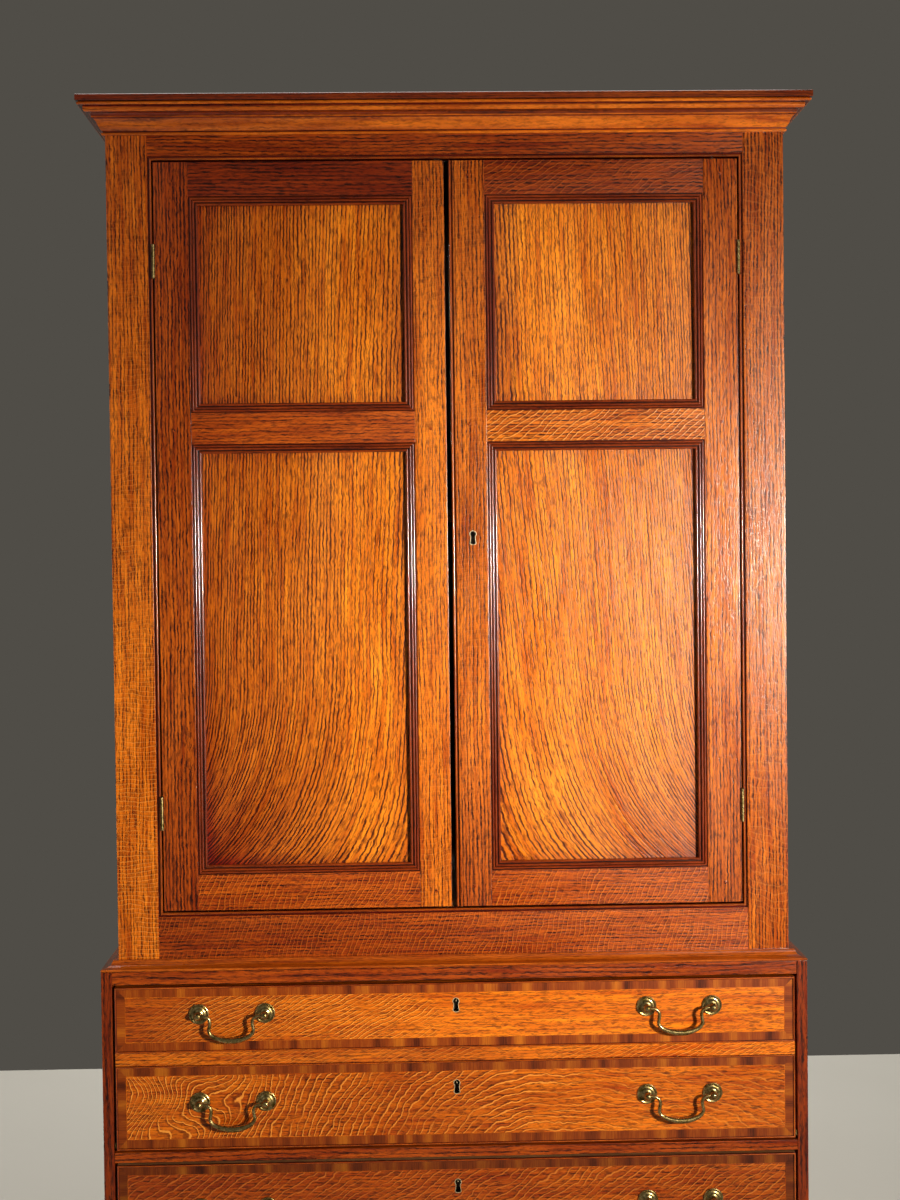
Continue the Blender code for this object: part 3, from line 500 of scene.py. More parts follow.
def only(*pieces: Solid) -> None:
    """Select these objects alone and make the first of them active.

    Args:
        pieces: The objects, or none to deselect everything.
    """
    bpy.ops.object.select_all(action="DESELECT")
    for piece in pieces:
        piece.select_set(True)
    if pieces:
        bpy.context.view_layer.objects.active = pieces[0]


def settle(name: str) -> Solid:
    """Name the active object and put its place in its mesh.

    Args:
        name: The object's name.

    Returns:
        The object.
    """
    bpy.ops.object.transform_apply(location=True, rotation=True, scale=True)
    bpy.context.object.name = name
    return bpy.context.object


def modify(piece: Solid, kind: str, **settings: object) -> None:
    """Add a modifier and apply it.

    Args:
        piece: The object to change.
        kind: The modifier's type.
        settings: The modifier's values.
    """
    only(piece)
    change = piece.modifiers.new(kind.title(), kind)
    for key, value in settings.items():
        setattr(change, key, value)
    bpy.ops.object.modifier_apply(modifier=change.name)


def ease(piece: Solid, width: float, steps: int = 2) -> None:
    """Round a piece's sharp edges.

    Args:
        piece: The object.
        width: The rounding's width.
        steps: Segments in the rounding.
    """
    modify(piece, "BEVEL", width=width * MM, segments=steps, limit_method="ANGLE", angle_limit=math.radians(28))


def board(name: str, low: Sequence[float], high: Sequence[float], round_edge: float = 0.8,
          cuts: int = 0) -> Solid:
    """Model a planed board with eased edges.

    Args:
        name: The object's name.
        low: Its lowest corner.
        high: Its highest corner.
        round_edge: Width of the eased edge.
        cuts: Cuts across each face, for a board that is shaded by place.

    Returns:
        The board.
    """
    only()
    bottom, top = Vector(low) * MM, Vector(high) * MM
    bpy.ops.mesh.primitive_cube_add(size=1, location=(bottom + top) / 2, scale=top - bottom)
    piece = settle(name)
    if cuts:
        bpy.ops.object.mode_set(mode="EDIT")
        bpy.ops.mesh.select_all(action="SELECT")
        bpy.ops.mesh.subdivide(number_cuts=cuts)
        bpy.ops.object.mode_set(mode="OBJECT")
    if round_edge:
        ease(piece, round_edge)
    return piece


def prism(name: str, outline: Sequence[Vector], along: Vector) -> Solid:
    """Extrude an outline to a closed solid.

    Args:
        name: The object's name.
        outline: Corners in order, in millimetres.
        along: How far and where to extrude.

    Returns:
        The solid.
    """
    only()
    bpy.ops.mesh.primitive_circle_add(vertices=len(outline), radius=MM, fill_type="NGON")
    piece = settle(name)
    for corner, place in zip(piece.data.vertices, outline):
        corner.co = place * MM
    bpy.ops.object.mode_set(mode="EDIT")
    bpy.ops.mesh.select_all(action="SELECT")
    bpy.ops.mesh.extrude_region_move(TRANSFORM_OT_translate={"value": along * MM})
    bpy.ops.mesh.select_all(action="SELECT")
    bpy.ops.mesh.normals_make_consistent(inside=False)
    bpy.ops.object.mode_set(mode="OBJECT")
    return piece


def saw(piece: Solid, point: Vector, normal: Vector) -> None:
    """Saw off what lies beyond a plane and close the cut.

    Args:
        piece: The object.
        point: A point on the cut.
        normal: The side that falls away.
    """
    only(piece)
    bpy.ops.object.mode_set(mode="EDIT")
    bpy.ops.mesh.select_all(action="SELECT")
    bpy.ops.mesh.bisect(plane_co=point * MM, plane_no=normal, use_fill=True, clear_outer=True)
    bpy.ops.object.mode_set(mode="OBJECT")


def length(name: str, outline: Outline, start: Vector, along: Vector, across: Vector, through: Vector,
           size: float, leans: tuple[int, int] = (0, 0)) -> Solid:
    """Run a moulding: a profile along a line, with its ends cut square or mitred.

    Args:
        name: The object's name.
        outline: Profile points, measured across and through.
        start: Where the run starts.
        along: Direction of the run.
        across: Direction of the profile's first measure.
        through: Direction of the profile's second measure.
        size: The run's length at the start line.
        leans: For each end 1 for an inside mitre, -1 for an outside one, 0 for a square cut.

    Returns:
        The moulded length.
    """
    spare = [max(abs(a) for a, _ in outline) + 1 if lean < 0 else 0 for lean in leans]
    first = start - along * spare[0]
    piece = prism(name, [first + across * a + through * b for a, b in outline], along * (size + sum(spare)))
    for lean, point, out in ((leans[0], start, -along), (leans[1], start + along * size, along)):
        if lean:
            saw(piece, point, (out + across * lean).normalized())
    return piece


def ring(name: str, low: tuple[float, float], high: tuple[float, float], front: float,
         outline: Outline) -> dict[str, Solid]:
    """Run a moulding round the inside of a rectangle on the front, mitred at its corners.

    Args:
        name: Start of the objects' names.
        low: The rectangle's low x and z.
        high: The rectangle's high x and z.
        front: The y that the profile's depth is measured from.
        outline: Profile points: distance in from the rectangle, and depth.

    Returns:
        The foot, head, left and right lengths.
    """
    wide, tall = high[0] - low[0], high[1] - low[1]
    a, b, c = Vector((low[0], front, low[1])), Vector((low[0], front, high[1])), Vector((high[0], front, low[1]))
    return {"foot": length(name + "_foot", outline, a, X, Z, Y, wide, (1, 1)),
            "head": length(name + "_head", outline, b, X, -Z, Y, wide, (1, 1)),
            "left": length(name + "_left", outline, a, Z, X, Y, tall, (1, 1)),
            "right": length(name + "_right", outline, c, Z, -X, Y, tall, (1, 1))}


def round_case(name: str, outline: Outline, half: float, front: float, rear: float,
               foot: float) -> dict[str, Solid]:
    """Run a moulding round the left, front and right of a case, mitred at the front corners.

    Args:
        name: Start of the objects' names.
        outline: Profile points: distance out from the case, and height.
        half: Half the case's width.
        front: The case's front.
        rear: Where the returns end.
        foot: Height of the profile's origin.

    Returns:
        The front, left and right lengths.
    """
    left, right = Vector((-half, front, foot)), Vector((half, front, foot))
    return {"front": length(name + "_front", outline, left, X, -Y, Z, 2 * half, (-1, -1)),
            "left": length(name + "_left", outline, left, Y, -X, Z, rear - front, (-1, 0)),
            "right": length(name + "_right", outline, right, Y, X, Z, rear - front, (-1, 0))}


def arc(centre: tuple[float, float], radii: tuple[float, float], start: float, end: float,
        steps: int = 8) -> list[tuple[float, float]]:
    """Points on part of an ellipse.

    Args:
        centre: Its middle.
        radii: Its two half axes.
        start: First angle in degrees.
        end: Last angle in degrees.
        steps: Steps between them.

    Returns:
        The points in order.
    """
    turns = [math.radians(start + (end - start) * i / steps) for i in range(steps + 1)]
    return [(centre[0] + radii[0] * math.cos(t), centre[1] + radii[1] * math.sin(t)) for t in turns]


def turned(name: str, centre: Vector, axis: Vector, rings: Sequence[tuple[float, float]],
           sides: int = 32) -> Solid:
    """Turn a piece as on a lathe: each ring is extruded from the last, moved and scaled.

    Args:
        name: The object's name.
        centre: Where the axis meets the first ring.
        axis: The axis, along or against X, Y or Z.
        rings: Radius and reach along the axis of each ring.
        sides: Sides of the round.

    Returns:
        The turned piece, closed at both ends.
    """
    only()
    tilt = (math.pi / 2 * abs(axis.y), math.pi / 2 * abs(axis.x), 0)
    bpy.ops.mesh.primitive_circle_add(vertices=sides, radius=rings[0][0] * MM, fill_type="NGON",
                                      location=(centre + axis * rings[0][1]) * MM, rotation=tilt)
    piece = settle(name)
    bpy.ops.object.mode_set(mode="EDIT")
    bpy.ops.mesh.select_all(action="SELECT")
    for (old, before), (radius, reach) in zip(rings, rings[1:]):
        bpy.ops.mesh.extrude_region_move(TRANSFORM_OT_translate={"value": axis * (reach - before) * MM})
        share = max(radius, 0.02) / max(old, 0.02)
        bpy.ops.transform.resize(value=(share,) * 3, center_override=(centre + axis * reach) * MM)
    bpy.ops.mesh.select_all(action="SELECT")
    bpy.ops.mesh.remove_doubles(threshold=0.05 * MM)
    bpy.ops.mesh.normals_make_consistent(inside=False)
    bpy.ops.object.mode_set(mode="OBJECT")
    return piece


def copied(piece: Solid, name: str, shift: Vector) -> Solid:
    """Copy a piece with its own mesh.

    Args:
        piece: What is copied.
        name: The copy's name.
        shift: How far the copy is moved.

    Returns:
        The copy.
    """
    only(piece)
    bpy.ops.object.duplicate(linked=False)
    bpy.context.object.location = shift * MM
    return settle(name)


def eased_copy(node: str, width: float) -> Solid:
    """Copy a node's mesh to a piece of its own, merge it and ease its edges.

    Args:
        node: The node's name.
        width: Width of the eased edges.

    Returns:
        The copy.
    """
    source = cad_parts[node]
    only(source)
    bpy.ops.object.duplicate(linked=False)
    piece = bpy.context.object
    piece.parent = None
    for key in list(piece.keys()):
        del piece[key]
    piece.name = node + "_copy"
    bpy.ops.object.mode_set(mode="EDIT")
    bpy.ops.mesh.select_all(action="SELECT")
    bpy.ops.mesh.remove_doubles(threshold=0.01 * MM)
    bpy.ops.mesh.dissolve_limited(angle_limit=math.radians(1))
    bpy.ops.object.mode_set(mode="OBJECT")
    ease(piece, width)
    return piece


def carve(piece: Solid, cutter: Solid) -> None:
    """Cut one solid out of another, and keep the cutter.

    Args:
        piece: The object that is cut.
        cutter: The solid that is taken away.
    """
    modify(piece, "BOOLEAN", object=cutter, operation="DIFFERENCE", solver="EXACT")


def drop(*pieces: Solid) -> None:
    """Delete objects that were only tools.

    Args:
        pieces: The objects.
    """
    for piece in pieces:
        bpy.data.objects.remove(piece)


def span(node: str) -> tuple[Vector, Vector]:
    """A node's low and high corners in millimetres."""
    low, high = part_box(node)
    return low / MM, high / MM


def facing(side: Side, near: float, far: float) -> tuple[float, float]:
    """The low and high x between two distances from the middle, on one side."""
    low, high = sorted((side.value * near, side.value * far))
    return low, high


@dataclass
class Part:
    """One board or fitting of a piece, with what it is to be dressed in.

    The grain runs one way, and bend moves it sideways by some metres at a place.
    Tone lifts or drops the colour, shade adds to that by place, and flow gives
    the count of fleck ribbons crossed at a place and how strongly they show.
    Those three get the place in metres.
    """

    solid: Solid
    finish: Finish
    way: Way = Way.UPRIGHT
    tone: float = 0.0
    bend: Bend | None = None
    shade: Shade | None = None
    flow: Flow | None = None

    def dress(self) -> None:
        """Write where each vertex lies in its own board and how it looks there, and give the finish.

        The rings lie aslant in every board, so that they show on its edges too.
        """
        number = next(NUMBERS)
        shift = Vector([(number * step) % 1 * size for step, size in LOG_STEPS])
        own = self.tone + ((number * TONE_STEP) % 1 - 0.5) * TONE_RANGE
        mesh = self.solid.data
        for name in ("grain", "look"):
            mesh.attributes.new(name, "FLOAT_VECTOR", "POINT")
        grain, look = mesh.attributes["grain"], mesh.attributes["look"]
        for i, corner in enumerate(mesh.vertices):
            place = Vector([corner.co[k] for k in self.way.value]) + shift
            place.y += RING_LEAN * place.z
            if self.bend:
                place.y += self.bend(corner.co)
            grain.data[i].vector = place
            crossed, show = self.flow(corner.co) if self.flow else (0.0, 0.0)
            look.data[i].vector = (own + (self.shade(corner.co) if self.shade else 0.0), crossed, show)
        mesh.materials.clear()
        mesh.materials.append(self.finish.material())


def fade(value: float, start: float, end: float) -> float:
    """How far a value has gone from start to end, between 0 and 1."""
    return min(1.0, max(0.0, (value - start) / (end - start)))


def blended(marks: Marks, at: float) -> float:
    """Read a value between marks that each give a place and its value.

    Args:
        marks: The marks in order of place.
        at: Where to read, held between the first and last mark.

    Returns:
        The value there.
    """
    at = min(max(at, marks[0][0]), marks[-1][0])
    return next(a[1] + (b[1] - a[1]) * fade(at, a[0], b[0]) for a, b in zip(marks, marks[1:]) if at <= b[0])


def slanted(turn: float, pitch: float, show: float = 1.0) -> Flow:
    """Fleck ribbons that all run one way across a front.

    Args:
        turn: Their slope in degrees, rising to the right.
        pitch: Their distance in millimetres.
        show: How strongly they show, from 0 to 1.

    Returns:
        The flow.
    """
    along, up = math.sin(math.radians(turn)) / (pitch * MM), math.cos(math.radians(turn)) / (pitch * MM)
    return lambda place: (place.z * up - place.x * along, show)


@dataclass
class Piece:
    """Parts that are joined, ride on one body and stand for some nodes."""

    name: str
    body: str
    slot: str
    nodes: tuple[str, ...]
    parts: list[Part] = field(default_factory=list)

    def take(self, solid: Solid, finish: Finish, way: Way = Way.UPRIGHT, tone: float = 0.0,
             bend: Bend | None = None, shade: Shade | None = None, flow: Flow | None = None) -> None:
        """Add a part and what it is dressed in."""
        self.parts.append(Part(solid, finish, way, tone, bend, shade, flow))

    def take_ring(self, lengths: dict[str, Solid], finish: Finish, tone: float = 0.0,
                  crossed: bool = False, shade: Shade | None = None) -> None:
        """Add the four lengths of a ring, with the grain along or across them.

        Args:
            lengths: What ring() gave.
            finish: Their finish.
            tone: Their tone.
            crossed: True where the grain runs across, as in crossbanding.
            shade: Shading by place.
        """
        for key, solid in lengths.items():
            upright = (key in ("left", "right")) != crossed
            self.take(solid, finish, Way.UPRIGHT if upright else Way.LEVEL, tone, None, shade)

    def take_round(self, lengths: dict[str, Solid], finish: Finish, tone: float = 0.0,
                   shade: Shade | None = None) -> None:
        """Add the three lengths of a moulding round a case."""
        for key, solid in lengths.items():
            self.take(solid, finish, Way.LEVEL if key == "front" else Way.SIDE_LEVEL, tone, None, shade)

    def dress(self) -> Solid:
        """Give each part its grain and finish, join them and set the piece on its body.

        Returns:
            The finished piece.
        """
        for part in self.parts:
            part.dress()
        solids = [part.solid for part in self.parts]
        only(*solids)
        if len(solids) > 1:
            bpy.ops.object.join()
        whole = bpy.context.object
        whole.name = self.name
        bpy.ops.object.shade_smooth_by_angle(angle=math.radians(34))
        modify(whole, "WEIGHTED_NORMAL", mode="FACE_AREA", weight=90, keep_sharp=True)
        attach(whole, self.body)
        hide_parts(*self.nodes)
        log.info("%s: %d parts, %d faces, on %s", self.name, len(solids), len(whole.data.polygons), self.body)
        return whole


@dataclass
class Assembly:
    """A sub-assembly: build() models its pieces and dress() finishes them."""

    pieces: list[Piece] = field(default_factory=list, init=False)

    def start(self, name: str, body: str, slot: str, *nodes: str) -> Piece:
        """Open a new piece of this sub-assembly."""
        self.pieces.append(Piece(name, body, slot, nodes))
        return self.pieces[-1]

    def plank_back(self, node: str) -> None:
        """Model a case's back of upright planks with gaps between them.

        Args:
            node: The back's node.
        """
        low, high = span(node)
        piece = self.start(node + "_planks", "carcass", "oak_inside", node)
        wide = (high.x - low.x) / PLANKS
        for i in range(PLANKS):
            left = low.x + wide * i + PLANK_GAP / 2
            plank = board("plank", (left, low.y, low.z), (left + wide - PLANK_GAP, high.y, high.z), 1.6)
            piece.take(plank, Finish.INSIDE, Way.UPRIGHT, -0.15)

    def build(self) -> None:
        """Model the pieces."""
        raise NotImplementedError

    def dress(self) -> None:
        """Finish every piece and set it on its body."""
        for piece in self.pieces:
            piece.dress()


def keyhole_outline(x: float, y: float, z: float, grow: float = 0.0) -> list[Vector]:
    """A keyhole, round above and slotted below.

    Args:
        x: Middle of the round.
        y: Depth of the outline.
        z: Height of the round's middle.
        grow: How much wider than the hole.

    Returns:
        The outline's corners.
    """
    head = arc((0, 0), (4.3 + grow, 4.3 + grow), -48, 228, 16)
    waist = [(2.9 + grow, -5.8), (3.2 + grow, -9.5)]
    foot = arc((0, -13), (4.1 + grow, 2.4 + grow), 180, 360, 8)
    points = head + [(-a, b) for a, b in waist] + foot + waist[::-1]
    return [Vector((x + a, y, z + b)) for a, b in points]


def keyhole(piece: Piece, solids: Sequence[Solid], x: float, front: float, z: float,
            pin: bool = True) -> None:
    """Cut a keyhole through a front and line it with sheet brass, with a dark iron sleeve behind it as painted shade
    that keeps the hole black.

    Args:
        piece: The piece that takes the liner and the pin.
        solids: What is cut.
        x: Middle of the hole.
        front: The front face.
        z: Height of the hole's round part.
        pin: Whether the lock's pin stands in the hole.
    """
    wall, before, through = 0.88, 4.0, 17.5  # the sleeves' wall, and where the tools start and how far they go
    cutter = prism("keyhole_cutter", keyhole_outline(x, front - before, z, wall + 0.02), Y * (through + 0.3))
    for solid in solids:
        carve(solid, cutter)
    bore = prism("keyhole_bore", keyhole_outline(x, front - before, z), Y * through)
    # The iron sleeve lines the hole's wooden walls behind the brass: a dark sleeve put there as painted shade.
    for start, deep, finish in ((-0.3, 1.7, Finish.LINER), (1.4, 12.3, Finish.IRON)):
        sleeve = prism("keyhole_sleeve", keyhole_outline(x, front + start, z, wall), Y * deep)
        carve(sleeve, bore)
        piece.take(sleeve, finish)
    drop(cutter, bore)
    if pin:
        rings = ((1.3, 0), (1.3, 11), (0.9, 11.6), (0, 11.8))
        piece.take(turned("lock_pin", Vector((x, front + 13.7, z)), -Y, rings, 12), Finish.LINER)


# A round bead beside its quirk, on the edge of a frame
QUIRK_BEAD: Outline = [(0, 22), (0, 0.3), (0.3, 0), (0.4, 0.2), (0.5, 3.2), (2.6, 3.2)] + \
    arc((4.3, 1.75), (1.7, 1.7), 180, 360) + [(6, 3), (6, 22)]


def quirk_shade(front: float) -> Shade:
    """Paint shade into the bottom of a quirk below a front, where wax and dirt also gather."""
    return lambda place: -1.5 if place.y / MM > front + 2.4 else 0.0


def notch_hinges(solid: Solid) -> None:
    """Cut a board round the hinge barrels that stand in it.

    Args:
        solid: A door stile or an opening bead.
    """
    side = Side.LEFT if solid.data.vertices[0].co.x < 0 else Side.RIGHT
    room, play = 3.1, 0.3  # round the barrel, and above and below it
    x, y = side.value * HINGE_AXIS[0], HINGE_AXIS[1]
    for end in HINGE_ENDS:
        low, high = span(f"{side.word}_door_{end}_hinge")
        tool = board("notch", (x - room, y - room, low.z - play), (x + room, y + room, high.z + play), 0)
        carve(solid, tool)
        drop(tool)


@dataclass
class UpperCase(Assembly):
    """The cupboard's case: face frame with its beaded opening, sides, boards, back and cornice."""

    opening: tuple[float, float] = (863.3, 1958.3)  # foot and head
    cornice_reach: float = 36.3

    def build(self) -> None:
        """Model the case."""
        self.build_face()
        self.build_boards()
        self.build_cornice()

    def build_face(self) -> None:
        """Model the stiles, rails and the bead round the opening."""
        low, high = span("face_frame")
        piece = self.start("face_frame_oak", "carcass", "oak", "face_frame")
        inner, under, over = OPENING_HALF + QUIRK_WIDTH, self.opening[0] - QUIRK_WIDTH, self.opening[1] + QUIRK_WIDTH
        # The left stile has fleck across its lower half, the right one faint slanting ribbons.
        figures = {Side.LEFT: lambda place: (place.z / (6.2 * MM), fade(place.z, 2.1, 0.9) * 0.4),
                   Side.RIGHT: slanted(-14, 10.5, 0.15)}
        # Painted light: both stiles darken towards the top, and the left one is lifted below its middle, as the key's
        # light falls off.
        painted_light_by_height = {Side.LEFT: lambda place: 0.35 * fade(place.z, 1.5, 1.1) - 0.15 * fade(place.z, 1.5, 2.0),
                 Side.RIGHT: lambda place: -0.5 * fade(place.z, 1.5, 1.95)}
        for side in Side:
            left, right = facing(side, inner, high.x)
            stile = board("stile", (left, low.y, low.z), (right, high.y, high.z), 0.7, 8)
            piece.take(stile, Finish.FRAME, Way.UPRIGHT, 0.1, None, painted_light_by_height[side], figures[side])
        face = low.y + 0.12  # the rails lie a shade behind the stiles
        # The top rail's lowered tone is painted shade towards the top of the case.
        top = board("top_rail", (-inner, face, over), (inner, high.y, high.z), 0.3)
        piece.take(top, Finish.DARK, Way.LEVEL, -0.2)
        bottom = board("bottom_rail", (-inner, face, low.z), (inner, high.y, under), 0.3)
        piece.take(bottom, Finish.DARK, Way.LEVEL, 0.1, None, lambda place: 1.1 * place.x - 0.05,
                   slanted(70, 6.5, 0.55))
        bead = ring("opening_bead", (-inner, under), (inner, over), low.y, QUIRK_BEAD)
        for solid in (bead["left"], bead["right"]):
            notch_hinges(solid)
        piece.take_ring(bead, Finish.BEAD, -0.2, shade=quirk_shade(low.y))

    def build_boards(self) -> None:
        """Model the sides, top, floor, shelf and the planked back."""
        for side in Side:
            node = f"press_side_{side.word}"
            piece = self.start(node + "_board", "carcass", "oak", node)
            piece.take(board(node, *span(node)), Finish.FRAME, Way.SIDE_UPRIGHT, -0.1)
        for node in ("press_top", "press_floor", "press_shelf"):
            piece = self.start(node + "_board", "carcass", "oak_inside", node)
            piece.take(board(node, *span(node)), Finish.INSIDE, Way.SHELF)
        self.plank_back("press_back")

    def build_cornice(self) -> None:
        """Model the cornice: bead, quirk, cyma, fillet, cove, ovolo, bead and a flat top."""
        low, high = span("face_frame")
        rear = span("press_back")[1].y
        foot, head = (corner.z for corner in span("cornice"))
        top, reach = head - foot, self.cornice_reach
        outline = [(0, 0)] + arc((2.8, 2), (1.6, 2), -90, 90) + [(2.4, 4.6), (2.6, 5.5)]
        outline += [(2.8 + 11.5 * (s + 0.07 * math.sin(2 * math.pi * s)), 5.5 + 17 * s) for s in
                    [i / 16 for i in range(1, 17)]]
        outline += [(16.3, 22.5), (16.3, 24.4)] + arc((22.3, 24.4), (6, 5), 180, 90)[1:]
        outline += [(23.3, 29.4)] + arc((23.3, 33.9), (3.5, 4.5), -90, 0)[1:]
        outline += [(26.8, 37.4), (reach - 4.2, 37.4)] + arc((reach - 4, 39.4), (2.1, 2), -90, 90)[1:]
        outline += [(reach - 4.4, 42.6), (reach - 0.6, 42.8), (reach, 43.4), (reach, top - 0.8), (reach - 0.8, top),
                    (0, top)]
        # From one height to another, the tone of each member: painted shade in the quirks and hollows, painted
        # highlight on the rounds
        steps = ((0, 4.1, 0.5), (4.1, 5.8, -2.0), (5.8, 22.4, 0.3), (22.4, 22.6, -1.4), (22.6, 24.5, 0.3),
                 (24.5, 29.5, -1.1), (29.5, 37.3, 0.45), (37.3, 37.5, -1.8), (37.5, 41.5, 0.7), (41.5, 42.9, -2.4),
                 (42.9, 60, -1.0))

        def shade(place: Vector) -> float:
            """Painted shade in the quirks and hollows, painted highlights on the rounds, and a painted sheen towards
            the right.

            Args:
                place: A place on the cornice.

            Returns:
                Its shade.
            """
            up = place.z / MM - foot
            own = next((tone for start, end, tone in steps if start <= up < end), 0.0)
            # Painted sheen: every member is lifted towards the right, the rounds most.
            return own - 0.35 + fade(place.x, -0.3, 0.45) * (2.9 if own > 0 else 0.7)

        piece = self.start("cornice_moulding", "carcass", "oak", "cornice")
        run = round_case("cornice", outline, high.x + 0.2, low.y - 0.2, rear, foot)
        piece.take_round(run, Finish.BEAD, 0.2, shade)


# Three reeds between a sunk lip and the panel, and where their grooves lie
REEDS: Outline = [(0, 8.3), (0, 0.45), (0.2, 0.25), (0.6, 0.25), (0.75, 2.2), (1.4, 2.3)] + \
    arc((3.2, 1.9), (1.75, 1.75), 180, 360) + [(5.05, 2.6), (5.35, 2.6)] + arc((7.2, 2.0), (1.75, 1.75), 180, 360) + \
    [(9.1, 2.9), (10.15, 3.0)] + arc((12.1, 2.4), (1.8, 1.8), 180, 360) + [(13.95, 2.6), (14, 2.8), (14, 8.3)]
GROOVES = ((0.7, 1.42), (4.97, 5.43), (8.97, 10.28))
# The bevelled edge behind a door panel
REAR_BEVEL: Outline = [(0, 15.8), (0, 21.8), (12, 21.8), (14, 19.8), (14, 15.8)]

# Tone from a panel's left edge to its right, as the strips it is glued up from differ
PANEL_TONES: dict[str, Marks] = {
    "left_upper": ((0, -0.8), (0.2, -0.5), (0.45, -0.2), (0.62, 0.1), (0.74, 0.35), (0.88, 0.1), (1, -0.4)),
    "right_upper": ((0, -0.3), (0.12, 0.0), (0.15, 0.7), (0.4, 0.7), (0.55, 0.5), (0.75, 0.3), (1, 0.1)),
    "left_lower": ((0, -0.45), (0.15, -0.3), (0.4, -0.05), (0.66, 0.1), (0.69, 0.5), (0.85, 0.55), (1, 0.2)),
    "right_lower": ((0, 0.3), (0.12, 0.6), (0.35, 0.65), (0.6, 0.6), (0.85, 0.4), (1, 0.2)),
}


